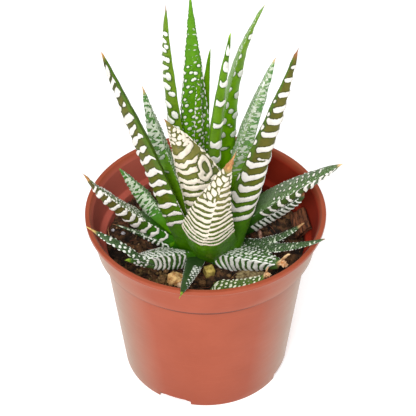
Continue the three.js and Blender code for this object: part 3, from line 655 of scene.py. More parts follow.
def pot_material():
    """Terracotta-coloured moulded plastic with a faint sheen and fine handling marks, and painted reflection
    and shade in its colour.
    """
    nodes = Nodes("pot_plastic")
    height = nodes.height()
    inside = nodes.attribute("inside")
    cloud = nodes.noise(14, 4)
    turning = nodes.noise(1.1, 3, 0.6, (0.12, 0.12, 1))
    grain = nodes.noise(0.35, 2)
    colour = nodes.mix(nodes.fit(cloud, 0.3, 0.7), (158, 72, 44), (167, 79, 51))
    colour = nodes.mix(nodes.fit(turning, 0.55, 0.8, 0, 0.2), colour, (192, 108, 80))
    # Painted shade: the wall darkens towards the foot
    colour = nodes.mix(nodes.fit(height, 30, 0, 0, 0.3), colour, (146, 64, 40))

    # A painted reflection of the white surroundings: the colour turns pale where the wall turns away, less on
    # the lip
    graze = nodes.node("LayerWeight", "Facing")
    below_lip = nodes.fit(height, LIP_FOOT + 0.1, LIP_FOOT - 0.4, 0.35, 1)
    painted_reflection = nodes.times(nodes.fit(graze, 0.5, 0.86, 0, 0.6), below_lip)
    colour = nodes.mix(painted_reflection, colour, (176, 166, 144))
    # A painted shadow: a dark band on the body under the collar's overhang, up over the collar's foot edge
    shadow_foot = COLLAR_FOOT_HEIGHT - 3.4
    shadow_top = COLLAR_FOOT_HEIGHT + 0.45
    from_foot = nodes.fit(height, shadow_foot, shadow_foot + 0.25)
    painted_shadow = nodes.times(from_foot, nodes.fit(height, shadow_top, shadow_top - 0.2))
    colour = nodes.mix(nodes.times(painted_shadow, 0.75), colour, (92, 46, 36))

    # Painted shade inside: the inner wall turns darker and redder, and a painted sheen makes its left side
    # paler
    painted_inner_shade_and_sheen = nodes.mix(nodes.attribute("haze"), (146, 36, 12), (190, 100, 84))
    colour = nodes.mix(inside, colour, painted_inner_shade_and_sheen)
    dust = nodes.times(nodes.attribute("dust"), nodes.fit(nodes.noise(1.4, 5), 0.42, 0.6))
    colour = nodes.mix(dust, colour, (70, 40, 26))
    roughness = nodes.plus(nodes.fit(turning, 0.3, 0.7, 0.42, 0.52), nodes.fit(inside, 0, 1, 0, 0.4))
    normal = nodes.bump(turning, 0.03, 0.4, nodes.bump(grain, 0.02, 0.5))
    sheen = nodes.fit(inside, 0, 1, 0.1, 0)
    return nodes.finish(
        colour, roughness, normal, Sheen_Weight=sheen, Specular_IOR_Level=0.22, Sheen_Roughness=0.3)


def soil_material(name, dark, light, red):
    """Moist dark peat with lighter fibres, and painted shade in the soil's hollows."""
    nodes = Nodes(name)
    clod = nodes.noise(2.2, 6, 0.65)
    fine = nodes.noise(0.4, 4, 0.7)
    colour = nodes.mix(nodes.fit(clod, 0.38, 0.66), dark, light)
    colour = nodes.mix(nodes.fit(fine, 0.52, 0.72, 0, 0.8), colour, red)
    # Painted shade: near black where the soil lies in a hollow
    colour = nodes.mix(nodes.attribute("hollow"), colour, (10, 6, 3))
    return nodes.finish(colour, 0.85, nodes.bump(fine, 0.35, 0.9), Specular_IOR_Level=0.3)


def stone_material(name, light, dark):
    nodes = Nodes(name)
    patch = nodes.noise(1.6, 5, 0.6)
    fine = nodes.noise(0.3, 4, 0.7)
    colour = nodes.mix(nodes.fit(patch, 0.38, 0.62), dark, light)
    colour = nodes.mix(nodes.fit(fine, 0.55, 0.7, 0, 0.5), colour, (236, 208, 160))
    return nodes.finish(colour, 0.8, nodes.bump(fine, 0.2, 0.8), Specular_IOR_Level=0.35)


def bark_material():
    nodes = Nodes("bark")
    ribs = nodes.noise(0.7, 3, 0.6, (1, 0.12, 1))
    fine = nodes.noise(0.3, 3, 0.7)
    colour = nodes.mix(nodes.fit(ribs, 0.36, 0.64), (34, 16, 10), (136, 80, 50))
    colour = nodes.mix(nodes.fit(fine, 0.56, 0.7, 0, 0.4), colour, (176, 118, 82))
    return nodes.finish(colour, 0.85, nodes.bump(fine, 0.2, 0.8), Specular_IOR_Level=0.3)


def plain_material(name, light, dark, size=0.6):
    """Two close colours in small patches."""
    nodes = Nodes(name)
    patch = nodes.noise(size, 4)
    colour = nodes.mix(nodes.fit(patch, 0.38, 0.62), dark, light)
    return nodes.finish(colour, 0.7, nodes.bump(patch, 0.1, 0.6), Specular_IOR_Level=0.35)


# Leaves

def leaf_values(number, given):
    """All values of a leaf, from its groups, its single values and the defaults."""
    leaf = {**LEAF_DEFAULTS, "seed": number}
    for name, value in given.items():
        leaf.update(zip(GROUPS[name], value) if name in GROUPS else [(name, value)])
    return leaf


def leaf_line(leaf, share):
    """Centre line of a leaf and the directions across it, as in the solids."""
    share = np.atleast_1d(share)[:, None]
    out, side, up = directions(leaf["azimuth"])
    origin = np.array([*leaf["origin"], 0.0])
    base = origin + out * leaf["root"] + up * leaf["foot"] + side * leaf["shift"]
    point = origin + out * leaf["reach"] + up * leaf["tip"]
    run = leaf["reach"] - leaf["root"]
    rise = leaf["tip"] - leaf["foot"]
    lean = (out * rise - up * run) / math.hypot(run, rise)
    middle = (base + point) / 2 + lean * 2 * leaf["bow"] + side * 2 * leaf["sway"]
    centre = (1 - share) ** 2 * base + 2 * share * (1 - share) * middle + share**2 * point
    along = 2 * (1 - share) * (middle - base) + 2 * share * (point - middle)
    along /= np.linalg.norm(along, axis=1)[:, None]
    flat = side - along * (along @ side)[:, None]
    flat /= np.linalg.norm(flat, axis=1)[:, None]
    inward = np.cross(along, flat)
    roll = math.radians(leaf["roll"])
    across = flat * math.cos(roll) + inward * math.sin(roll)
    inward = inward * math.cos(roll) - flat * math.sin(roll)
    return centre, along, across, inward


def leaf_rings(leaf, share, turns):
    """Points of the smooth leaf, one ring for each share of its length."""
    centre, along, across, inward = leaf_line(leaf, share)
    taper = np.maximum(1 - share ** leaf["full"], 0) ** leaf["sharp"]
    narrowest, waist_start, waist_end = leaf["waist"]
    base = 1 - ramp(share, waist_start, waist_end)
    withered = (1 - leaf["shrink"] * past(share, leaf["dry"], 0.03)) * (1 - (1 - narrowest) * base)
    centre = centre - np.array([0, 0, leaf["sink"]]) * base[:, None]
    half = ((0.5 * leaf["width"] * taper + 0.05) * withered)[:, None]
    back = ((leaf["thick"] * leaf["width"] * taper**0.9 + 0.05) * withered)[:, None]
    rise = 1.2 * np.clip((share - 0.1) / 0.5, 0, 1) - 0.35
    face = (0.1 * leaf["width"] * rise * taper)[:, None]
    keel = (2.1 - 0.6 * share)[:, None]
    cosine = np.cos(turns)[None]
    on_back = (np.sin(turns) >= 0)[None]
    thin = np.minimum(MARGIN_THICKNESS, half)
    back_depth = -back * (1 - np.abs(cosine) ** keel)
    face_depth = face * (1 - cosine**2) + thin * (1 - np.abs(cosine) ** 6)
    depth = np.where(on_back, back_depth, face_depth)
    bent = ramp(share, leaf["dry"] - 0.04, 1.0)[:, None] ** 1.5
    hook_along, hook_across, hook_inward = leaf["hook"]
    centre = centre + bent * (along * hook_along + across * hook_across + inward * hook_inward)
    return centre[:, None] + across[:, None] * (half * cosine)[..., None] + inward[:, None] * depth[..., None]


def around(turns):
    """Place round the leaf: 0 at the keel, -1 and 1 at the margins, -2 and 2 in the middle of the face."""
    place = 1 - 2 * turns / math.pi
    return np.where(place < -2, place + 4, place)


def band_depth(leaf, share, place, run, length, half_round):
    """How deep in a white band each point lies, in millimetres, negative outside."""
    deepest = np.full(run.shape, NO_MARK)
    low_left, low_right, high_left, high_right = leaf["fall"]
    left = low_left + (high_left - low_left) * share
    right = low_right + (high_right - low_right) * share
    bands = leaf["bands"]
    off = place - leaf["peak"]
    bend = leaf["curve"]
    fall = np.where(off < 0, left, right)
    rest = 1 - np.abs(off)
    drop = fall * (1 - rest**bend)
    slope = fall * bend * rest ** (bend - 1) * length / half_round
    if leaf["stagger"]:
        spacing = (bands[-1] - bands[0]) / (len(bands) - 1)
        drop = drop + np.where(off < 0, 0.4 * spacing * past(share, leaf["stagger"], 0.02), 0)
    width = place * half_round
    for count, band in enumerate(bands):
        seed = count + 13 * leaf["seed"]
        wave = 0.5 * line_noise(width, 3.0, 0.4 * count + leaf["seed"])
        wave = wave + 0.28 * line_noise(width, 1.3, 0.7 * count + 3 * leaf["seed"])
        middle = (band - drop) * length + leaf["ragged"] * wave
        away = np.abs(run - middle) / np.sqrt(1 + slope**2)
        lump = 1 + 0.26 * leaf["ragged"] * line_noise(width, 1.2, seed + 200)
        fade = min(1.0, 0.45 + 2 * (1 - band), 0.4 + 2 * band)
        thick = 0.5 * leaf["thick_band"] * fade * np.clip(lump, 0.45, 1.5)
        high = leaf["zone_high"] and band > leaf["high_from"]
        start, end = leaf["zone_high"] if high else leaf["zone"]
        first = (start + 0.08 * math.sin(seed * 2.1)) * half_round
        last = (end + 0.08 * math.sin(seed * 3.7)) * half_round
        over = np.maximum(0, np.maximum(width - last + thick, first + thick - width))
        gap = line_noise(width + 7 * count, 1.3, seed + 400) - (1 - 1.6 * leaf["split"])
        deepest = np.maximum(deepest, thick - np.sqrt(away**2 + over**2) - 2.5 * np.maximum(0, gap))
    return deepest


def in_zone(leaf, place, start):
    """Place round the leaf, without its side where a zone of dots or specks is on both sides."""
    return np.abs(place) if start > 0 and not leaf["side"] else place


def dot_depth(leaf, share, run, width, place, small):
    """How deep in a small round dot each point lies. Dots stand in uneven rows."""
    spacing = leaf["dots"]
    row = np.floor(run / spacing)
    nearest = np.full(run.shape, -NO_MARK)
    second = nearest.copy()
    nearest_radius = np.zeros(run.shape)
    for row_step in (-1, 0, 1):
        here = row + row_step
        offset = 0.5 * np.mod(here, 2)
        column = np.floor(width / spacing - offset)
        for column_step in (-1, 0, 1):
            cell = np.stack([here, column + column_step, np.full(run.shape, leaf["seed"])], -1)
            middle_run = (here + 0.5 + 0.13 * lattice(cell, 1)) * spacing
            middle_width = (column + column_step + 0.5 + offset + 0.13 * lattice(cell, 2)) * spacing
            radius = leaf["dot"] * (1 + 0.18 * lattice(cell, 3)) * small
            radius = np.where((lattice(cell, 4) < -0.85) & (leaf["dot"] < 1), -1, radius)
            away = np.hypot(run - middle_run, width - middle_width)
            closer = away < nearest
            second = np.where(closer, nearest, np.minimum(second, away))
            nearest_radius = np.where(closer, radius, nearest_radius)
            nearest = np.where(closer, away, nearest)
    deepest = np.minimum(nearest_radius - nearest, 0.5 * (second - nearest) - leaf["dots_gap"])
    start, end = leaf["dots_zone"]
    where = in_zone(leaf, place, start)
    inside = (where >= start) & (where <= end) | (share > leaf["dots_all"])
    deepest = np.where(inside, deepest, NO_MARK)
    return deepest - 2 * (1 - past(share, leaf["dots_from"], 0.03)) - 2 * past(share, leaf["dots_to"], 0.03)


def tooth_depth(leaf, share, run, width, half_round, small):
    """How deep in one of the white tubercles along the margins each point lies."""
    spacing = leaf["teeth"]
    row = np.floor(run / spacing)
    deepest = np.full(run.shape, NO_MARK)
    side = np.sign(width)
    for step in (-1, 0, 1):
        cell = np.stack([row + step, side, np.full(run.shape, leaf["seed"])], -1)
        middle = (row + step + 0.5 + 0.3 * lattice(cell, 6)) * spacing
        radius = leaf["tooth"] * (1 + 0.3 * lattice(cell, 7)) * small
        away = np.hypot(run - middle, np.abs(width) - half_round)
        deepest = np.maximum(deepest, radius - away)
    return deepest - 2 * (1 - ramp(share, 0.05, 0.2)) - 2 * past(share, leaf["teeth_to"], 0.02)


def blob_depth(leaf, bands, run, width, length, half_round):
    """Depth in the bands and in the single blobs beside them."""
    for middle, around_place, half_across, half_along in leaf["blobs"]:
        along = (run - middle * length) / half_along
        across = (width - around_place * half_round) / half_across
        rough = 1 + 0.15 * line_noise(run + 3 * width, 1.1, leaf["seed"])
        bands = np.maximum(bands, (rough - np.hypot(along, across)) * min(half_across, half_along))
    return bands


def loop_depth(leaf, bands, run, width, length, half_round):
    """Depth in the bands and in rings, with no band inside or close round a ring."""
    for middle, around_place, radius, stretch, half_line in leaf["loops"]:
        along = (run - middle * length) / stretch
        uneven = 0.5 * line_noise(run + 2 * width, 2.0, 3) - 0.25 * along
        away = np.hypot(along, width - around_place * half_round + uneven)
        bands = np.where(away < radius + half_line + 0.45, -0.5, bands)
        bands = np.maximum(bands, half_line - np.abs(away - radius))
    return bands


def leaf_marks(leaf, share, place, points):
    """Depth of every point in the white marks, and the height that they stand up."""
    length = np.linalg.norm(np.diff(points.mean(1), axis=0), axis=1).sum()
    across = np.linalg.norm(np.diff(points, axis=1, append=points[:, :1]), axis=2).sum(1)
    half_round = np.maximum(across[:, None] / 4, 0.2) * np.ones_like(place)
    small = np.clip(half_round / 3, 0.2, 1)
    run = share * length
    width = place * half_round
    bands = dots = np.full(place.shape, NO_MARK)
    if leaf["bands"]:
        bands = band_depth(leaf, share, place, run, length, half_round)
    bands = blob_depth(leaf, bands, run, width, length, half_round)
    bands = loop_depth(leaf, bands, run, width, length, half_round)
    bands = bands - 2 * (1 - ramp(share, 0.03, 0.1))
    if leaf["dots"]:
        dots = dot_depth(leaf, share, run, width, place, small)
    if leaf["teeth"]:
        dots = np.maximum(dots, tooth_depth(leaf, share, run, width, half_round, small))
    dead = past(share, leaf["dry"], 0.02)
    height = BAND_RELIEF * ramp(bands, -0.12, 0.4) + DOT_RELIEF * ramp(dots, -0.1, 0.3) * (bands < 0)
    return np.maximum(bands, dots) - 3 * dead, height * small * (1 - dead)


def speck_share(leaf, share, place):
    """How thickly fine pale squiggles cover each point, from 0 to 1."""
    total = np.zeros(share.shape)
    for amount, start, end, low in leaf["specks"]:
        where = in_zone(leaf, place, start)
        zone = past(where, start, 0.12) * (1 - past(where, end, 0.12))
        total = np.maximum(total, amount * zone * ramp(share, low - 0.1, low + 0.12))
    return total * (1 - ramp(share, leaf["dry"] - 0.02, leaf["dry"]))


def sun_share(leaf, share, place):
    """How browned each point is, from 0 to 1."""
    sun_from, sun_to, sun_most = leaf["sun"]
    sun = sun_most * ramp(place, sun_from, sun_to)
    burn_from, burn_most = leaf["burn"]
    return np.maximum(sun, burn_most * ramp(share, burn_from, burn_from + 0.4))


def surface_normals(points):
    """Outward directions at the points of rings."""
    closed = np.concatenate([points[:, -1:], points, points[:, :1]], axis=1)
    normal = np.cross(np.gradient(points, axis=0), (closed[:, 2:] - closed[:, :-2]) / 2)
    size = np.linalg.norm(normal, axis=2, keepdims=True)
    return normal / np.maximum(size, 1e-9)


def leaf_piece(name, leaf):
    """Leaf with its raised marks."""
    line = leaf_line(leaf, np.linspace(0, 1, 40))[0]
    length = np.linalg.norm(np.diff(line, axis=0), axis=1).sum()
    cell = LEAF_CELL_SMALL if leaf["width"] < SMALL_LEAF_WIDTH else LEAF_CELL
    cell = LEAF_CELL_FAR if leaf["far"] else cell
    rings = int(length / cell)
    sides = int(np.clip(2.35 * leaf["width"] / cell, 30, LEAF_MOST_ROUND))
    share = np.linspace(0.0, 0.997, rings)
    turns = even_turns(sides)
    points = leaf_rings(leaf, share, turns)
    shares = share[:, None] * np.ones(sides)
    places = around(turns)[None] * np.ones((rings, 1))
    marks, height = leaf_marks(leaf, shares, places, points)
    dry = leaf["dry"]
    soft = 0.22 * layered_noise(points, 5.0, leaf["seed"]) * np.clip(leaf["width"] / 14, 0.3, 1)
    wrinkle = leaf["crumple"] * layered_noise(points, 1.1, leaf["seed"] + 9)
    wrinkle = wrinkle * ramp(shares, dry - 0.01, dry + 0.02) * np.clip(6 * (1 - shares), 0, 1)
    points = points + surface_normals(points) * (height + soft + wrinkle)[..., None]
    foot = leaf_line(leaf, 0.0)[0]
    tip = 2 * points[-1].mean(0) - points[-2].mean(0)
    all_points = np.concatenate([foot, points.reshape(-1, 3), tip[None]])
    piece = tube_piece(name + "_surface", all_points, sides, leaf_material(name, leaf))

    cloud = layered_noise(points, 7.0, leaf["seed"] + 31)
    cloudy = shares + 0.05 * cloud
    fresh = 1 - ramp(cloudy, leaf["fresh"] - 0.15, leaf["fresh"] + 0.2)
    on_face = ramp(np.abs(places), 0.75, 1.1)
    half_round = np.linalg.norm(np.diff(points, axis=1), axis=2).sum(1)[:, None] / 4
    add_values(
        piece,
        mark=marks,
        along=shares * length + 17.3 * leaf["seed"],
        across=places * half_round,
        speck=speck_share(leaf, shares, places),
        fresh=fresh,
        sun=sun_share(leaf, cloudy, places) * (1 - fresh) * (1 - 0.6 * on_face),
        frost=leaf["frost"] * on_face * ramp(shares, 0.25, 0.5),
        dry=ramp(shares + 0.01 * cloud, dry - 0.015, dry + 0.02))
    hand_over(piece, name)
    if leaf["flake"]:
        flake_piece(name, leaf)


def flake_piece(name, leaf):
    """Crumpled dead skin that hangs round a leaf's point."""
    place, size, lift = leaf["flake"]
    ball, faces = ball_points(4)
    ball = ball * (0.62 + 0.8 * np.abs(layered_noise(ball, 0.7, leaf["seed"] + 60))[:, None])
    middle = leaf_line(leaf, place)[0][0] + np.array([0, 0, lift])
    points = turn_about_z(ball * np.array(size) / 2, leaf["azimuth"]) + middle
    skin = plain_material(name + "_dead_skin", (250, 214, 168), (204, 140, 84), 1.0)
    hand_over(mesh_piece(name + "_flake", points, faces, skin))


# Pot

def round_corners(corners):
    """Outline whose corners (radius, height, rounding) are replaced by arcs."""
    outline = []
    for count, (radius, height, rounding) in enumerate(corners):
        here = np.array([radius, height], float)
        if rounding == 0:
            outline.append(here)
            continue
        before = np.array(corners[count - 1][:2], float) - here
        after = np.array(corners[count + 1][:2], float) - here
        before /= np.linalg.norm(before)
        after /= np.linalg.norm(after)
        half_angle = 0.5 * math.acos(np.clip(before @ after, -1, 1))
        reach = rounding / math.tan(half_angle)
        start = here + before * reach
        end = here + after * reach
        for step in range(CORNER_STEPS + 1):
            share = step / CORNER_STEPS
            outline.append((1 - share) ** 2 * start + 2 * share * (1 - share) * here + share**2 * end)
    return outline


def pot_outline():
    """Section of the pot: under its floor, up its outside, over the lip and down its inside."""
    floor_top = FLOOR_RISE + FLOOR
    ledge = COLLAR_FOOT_HEIGHT + WALL
    return round_corners([
        (0, 0, 0),
        (CENTRE_DISC_RADIUS, 0, 0.4),
        (CENTRE_DISC_RADIUS + CENTRE_SLOPE, FLOOR_RISE, 0.6),
        (FOOT_RADIUS - FOOT_WIDTH, FLOOR_RISE, 0.5),
        (FOOT_RADIUS - FOOT_WIDTH, 0, 0.3),
        (FOOT_RADIUS, 0, 0.5),
        (BODY_TOP_RADIUS, COLLAR_FOOT_HEIGHT, 0.3),
        (COLLAR_FOOT_RADIUS, COLLAR_FOOT_HEIGHT, 0.25),
        (COLLAR_TOP_RADIUS, LIP_FOOT, 0.9),
        (RIM_RADIUS, LIP_FOOT + 0.3, 0.7),
        (RIM_RADIUS, POT_HEIGHT, 0.35),
        (RIM_RADIUS - LIP_WIDTH, POT_HEIGHT, 0.35),
        (COLLAR_TOP_RADIUS - WALL, LIP_FOOT, 0.5),
        (COLLAR_FOOT_RADIUS - WALL, ledge, 0.8),
        (FOOT_RADIUS + BODY_SLOPE * ledge - WALL, ledge, 0.8),
        (FOOT_RADIUS + BODY_SLOPE * floor_top - WALL, floor_top, 0.8),
        (CENTRE_DISC_RADIUS + CENTRE_SLOPE - 0.6, floor_top, 0.4),
        (CENTRE_DISC_RADIUS - 0.6, FLOOR, 0.4),
        (0, FLOOR, 0),
    ])


def finer(outline, longest):
    """Outline with points added so that no step is much longer than a length."""
    result = [outline[0]]
    for point in outline[1:]:
        start = result[-1]
        parts = max(1, int(np.linalg.norm(point - start) / longest))
        result.extend(start + (point - start) * (count + 1) / parts for count in range(parts))
    return result


def notch_cutter(number):
    """Form of one low arch through the foot ring."""
    out, side, up = directions(NOTCH_DIRECTION + 360 * number / NOTCH_COUNT)
    half = FOOT_RADIUS * math.sin(math.radians(NOTCH_ANGLE / 2))
    rings = []
    for depth in (-2, 2):
        ring = []
        for step in range(NOTCH_STEPS + 1):
            angle = math.pi * step / NOTCH_STEPS
            height = NOTCH_HEIGHT * min(1, 4 * math.sin(angle)) if 0 < step < NOTCH_STEPS else -2
            ring.append(out * (FOOT_RADIUS + depth) - side * math.cos(angle) * half + up * height)
        rings.append(ring)
    return tube_piece("notch_cutter", capped(rings), NOTCH_STEPS + 1)


def drain_cutter(number):
    """Form of one drain hole in the floor."""
    out, _, up = directions((number + 0.5) * 360 / DRAIN_COUNT)
    ring = out * DRAIN_CIRCLE + circle(DRAIN_RADIUS, even_turns(DRAIN_SIDES), 0)
    return tube_piece("drain_cutter", capped([ring + up, ring + 6 * up]), DRAIN_SIDES)


def pot_piece():
    outline = finer(pot_outline(), 3.0)
    turns = even_turns(POT_SIDES)
    rings = [circle(radius, turns, height) for radius, height in outline[1:-1]]
    ends = np.array([[(0, 0, height)] for _, height in (outline[0], outline[-1])])
    points = np.concatenate([ends[0], *rings, ends[1]])
    piece = tube_piece("pot_shell", points, POT_SIDES, pot_material())
    cutters = [notch_cutter(number) for number in range(NOTCH_COUNT)]
    cutters += [drain_cutter(number) for number in range(DRAIN_COUNT)]
    cut_out(piece, cutters)
    keep_sharp(piece, 35)
    points = np.array([vertex.co for vertex in piece.data.vertices]) / MM
    radius = np.hypot(points[:, 0], points[:, 1])
    height = points[:, 2]
    lip = RIM_RADIUS - 0.6
    heights = (0, COLLAR_FOOT_HEIGHT, COLLAR_FOOT_HEIGHT + 0.01, LIP_FOOT, LIP_FOOT + 0.5, POT_HEIGHT)
    outer = (FOOT_RADIUS, BODY_TOP_RADIUS, COLLAR_FOOT_RADIUS, COLLAR_TOP_RADIUS, lip, lip)
    inside = (radius < np.interp(height, heights, outer) - 0.8) & (height < POT_HEIGHT - 0.2)
    # The values mark the inner wall, whose colour holds painted shade, a painted sheen that grows to the
    # left, and soil dust near the soil line
    add_values(
        piece,
        inside=inside * ramp(height, 52, 56),
        haze=0.75 * (1 - ramp(points[:, 0], -30, 20)),
        dust=inside * (1 - ramp(height, SOIL_EDGE_HEIGHT + 0.5, SOIL_EDGE_HEIGHT + 3)) * 0.4)
    hand_over(piece, "pot")


# Soil

def soil_level(radius):
    """Height of the soil without its clods."""
    return SOIL_EDGE_HEIGHT + SOIL_MOUND * (1 - (radius / BODY_TOP_RADIUS) ** 2)


def soil_height(radius, angle):
    broad = np.sin(3 * angle + 1) * np.sin(radius / 5) + np.sin(7 * angle + radius / 3)
    place = askew(circle(radius, angle, 0))
    clods = layered_noise(place, 3.6, 3, 4)
    ridges = 1 - np.abs(layered_noise(place, 1.7, 21))
    return soil_level(radius) + SOIL_ROUGHNESS * (0.35 * broad + 1.5 * clods + 0.7 * ridges - 0.3)


def soil_at(x, y):
    return float(soil_height(np.array(math.hypot(x, y)), np.array(math.atan2(y, x))))


def soil_piece():
    def wall(height):
        return FOOT_RADIUS + BODY_SLOPE * height - WALL - SOIL_GAP

    turns = even_turns(SOIL_SIDES)
    bottom = FLOOR_RISE + FLOOR + SOIL_GAP
    rings = [circle(wall(height), turns, height) for height in np.linspace(bottom, SOIL_EDGE_HEIGHT - 2.5, 6)]
    for count in range(SOIL_RINGS, 0, -1):
        radius = np.full(turns.shape, wall(SOIL_EDGE_HEIGHT) * count / SOIL_RINGS)
        rings.append(circle(radius, turns, soil_height(radius, turns)))
    points = np.concatenate([[(0, 0, bottom)], *rings, [(0, 0, SOIL_EDGE_HEIGHT + SOIL_MOUND)]])
    material = soil_material("peat", (30, 18, 8), (128, 90, 54), (168, 112, 74))
    piece = tube_piece("soil_body", points, SOIL_SIDES, material)
    # Painted shade: the soil turns near black where it lies below its level
    level = soil_level(np.hypot(points[:, 0], points[:, 1]))
    add_values(piece, hollow=0.9 * ramp(level - points[:, 2], -0.9, 0.5))
    hand_over(piece, "soil")


# Litter

def joined_piece(name, parts, material, smooth=True):
    """One piece of several parts, each with its points and faces."""
    faces = []
    total = 0
    for points, part_faces in parts:
        faces.extend(tuple(index + total for index in face) for face in part_faces)
        total += len(points)
    return mesh_piece(name, np.concatenate([points for points, _ in parts]), faces, material, smooth)


def scatter(name, count, sizes, material, seed, lift, spread=LITTER_REACH, middle=(0, 0), level=1):
    """One piece of many small uneven lumps on the soil."""
    draw = np.random.default_rng(seed)
    smallest, largest = sizes
    ball, faces = ball_points(level)
    parts = []
    for number in range(count):
        radius = spread * math.sqrt(draw.uniform(0.02, 1))
        angle = draw.uniform(0, 2 * math.pi)
        size = smallest + (largest - smallest) * draw.uniform() ** 2.2
        lump = ball * (1 + 0.28 * smooth_noise(ball + number, 0.8, seed)[:, None])
        lump = lump * size * np.array([1, draw.uniform(0.6, 1), draw.uniform(0.5, 0.9)]) / 2
        lump = turn_about_z(turn_about_x(lump, draw.uniform(0, 90)), draw.uniform(0, 360))
        x = middle[0] + radius * math.cos(angle)
        y = middle[1] + radius * math.sin(angle)
        if math.hypot(x, y) <= LITTER_REACH:
            parts.append((lump + np.array([x, y, soil_at(x, y) + lift * size]), faces))
    hand_over(joined_piece(name, parts, material, smooth=level > 1))


def strand(line, radii, sides):
    """Points and faces of a thin round strand through a line of points."""
    line = np.asarray(line, float)
    along = np.gradient(line, axis=0)
    along /= np.linalg.norm(along, axis=1)[:, None]
    first = np.cross(along, np.array([0.3, 0.2, 0.93]))
    first /= np.linalg.norm(first, axis=1)[:, None]
    second = np.cross(along, first)
    turns = even_turns(sides)
    ring = first[:, None] * np.cos(turns)[None, :, None] + second[:, None] * np.sin(turns)[None, :, None]
    points = line[:, None] + ring * np.asarray(radii, float)[:, None, None]
    return np.concatenate([line[:1], points.reshape(-1, 3), line[-1:]]), tube_faces(len(line), sides)


def strands_piece(name, lines, radii, material, sides):
    """One piece of several strands."""
    parts = [strand(line, radius, sides) for line, radius in zip(lines, radii)]
    piece = joined_piece(name, parts, material)
    outwards(piece)
    hand_over(piece)


def fibre_lines(seed):
    """Lines and radii of fibres that wander over the soil."""
    draw = np.random.default_rng(seed)
    lines = []
    radii = []
    for _ in range(FIBRE_COUNT):
        radius = 35 * math.sqrt(draw.uniform(0.1, 1))
        angle = draw.uniform(0, 2 * math.pi)
        heading = draw.uniform(0, 2 * math.pi)
        length = draw.uniform(2, 7)
        x = radius * math.cos(angle)
        y = radius * math.sin(angle)
        line = []
        for step in range(FIBRE_STEPS):
            heading += draw.uniform(-0.35, 0.35)
            x += math.cos(heading) * length / FIBRE_STEPS
            y += math.sin(heading) * length / FIBRE_STEPS
            if math.hypot(x, y) > LITTER_REACH + 0.1:
                break
            line.append((x, y, soil_at(x, y) + 0.3 + 0.25 * math.sin(step * 0.9)))
        if len(line) > 3:
            lines.append(line)
            radii.append(draw.uniform(0.08, 0.2) * np.linspace(1, 0.4, len(line)))
    return lines, radii


def lump_piece(name, middle, size, material, seed):
    """One small lump of litter."""
    ball, faces = ball_points(3)
    ball = ball * (1 + 0.16 * layered_noise(ball, 0.9, seed)[:, None])
    hand_over(mesh_piece(name, ball * np.array(size) / 2 + np.array(middle), faces, material))


def litter_pieces():
    """Crumbs, grit and fibres all over the soil, and the single lumps and scraps that stand out."""
    dark = soil_material("dark_crumb", (20, 11, 5), (74, 50, 28), (110, 74, 46))
    brown = soil_material("brown_crumb", (58, 38, 18), (134, 96, 56), (176, 134, 88))
    pale = plain_material("grit", (206, 176, 130), (150, 112, 70))
    sand = soil_material("front_grit", (60, 44, 22), (136, 108, 62), (190, 154, 100))
    scatter("crumbs_dark", CRUMB_COUNT, (0.5, 2.0), dark, 4, 0.2)
    scatter("crumbs_brown", CRUMB_COUNT // 3, (0.4, 1.5), brown, 8, 0.3)
    scatter("grit", 60, (0.3, 0.8), pale, 15, 0.4)
    scatter("grit_front", 120, (0.7, 2.6), sand, 31, 0.25, spread=11, middle=(-18, -25), level=2)
    fibre = plain_material("fibre", (136, 78, 50), (76, 38, 24))
    strands_piece("soil_fibres", *fibre_lines(23), fibre, 5)

    perlite = plain_material("perlite", (206, 204, 208), (140, 136, 142))
    pink = plain_material("pink_grit", (255, 224, 180), (214, 170, 140))
    tan = plain_material("tan_grit", (140, 106, 66), (84, 58, 32))
    lump_piece("perlite_1", (-35.3, 4.4, 58.9), (1.5, 1.3, 1.2), perlite, 40)
    lump_piece("perlite_2", (-31.4, 2.7, 58.9), (1.9, 1.3, 1.2), perlite, 41)
    lump_piece("pebble_pink", (-9.3, -26.9, 60.0), (2.4, 2.2, 2.2), pink, 50)
    lump_piece("pebble_left", (-14.6, -18.9, 59.4), (2.0, 1.8, 1.8), tan, 51)
    lump_piece("pebble_right", (8.7, -21, 59.2), (1.8, 1.6, 1.4), tan, 52)
    lump_piece("peat_lump_1", (-1.2, -25.2, 59.2), (3.0, 2.8, 2.6), brown, 53)
    lump_piece("peat_lump_2", (1.4, -24.6, 58.9), (2.6, 2.4, 2.2), dark, 54)

    scale = plain_material("dry_scale", (206, 160, 136), (120, 80, 62))
    line = [(19.9, 2.7, 61.2), (20.5, 0, 61.6), (20.9, -3.4, 61.2), (21.2, -7.4, 60.0)]
    strands_piece("dry_scale", [line], [[0.5, 0.75, 0.7, 0.3]], scale, 8)
    straw = plain_material("straw", (196, 150, 104), (140, 96, 62))
    line = [(-37.0, 7.5, 58.9), (-37.2, 4.5, 59.3), (-36.6, 1.0, 59.2), (-36.9, -2.4, 58.8)]
    strands_piece("straw", [line], [[0.15, 0.2, 0.2, 0.12]], straw, 6)


# Stones and bark

def stone_piece(name, middle, size, turn, tilt, block, light, dark):
    """Stone: a ball pushed towards a block, with a rough broken surface."""
    ball, faces = ball_points(5)
    widest = np.abs(ball).max(1)[:, None]
    squared = 1 + (0.85 / widest - 1) * (block - 0.5)
    depth = 0.06 if block > 0.6 else 0.24
    rough = 1 + depth * layered_noise(ball, 0.6, len(name), 4)[:, None]
    points = ball * squared * rough * np.array(size) / 2
    points = turn_about_z(turn_about_x(points, tilt), turn) + np.array(middle)
    piece = mesh_piece(name + "_surface", points, faces, stone_material(name, light, dark))
    hand_over(piece, name)


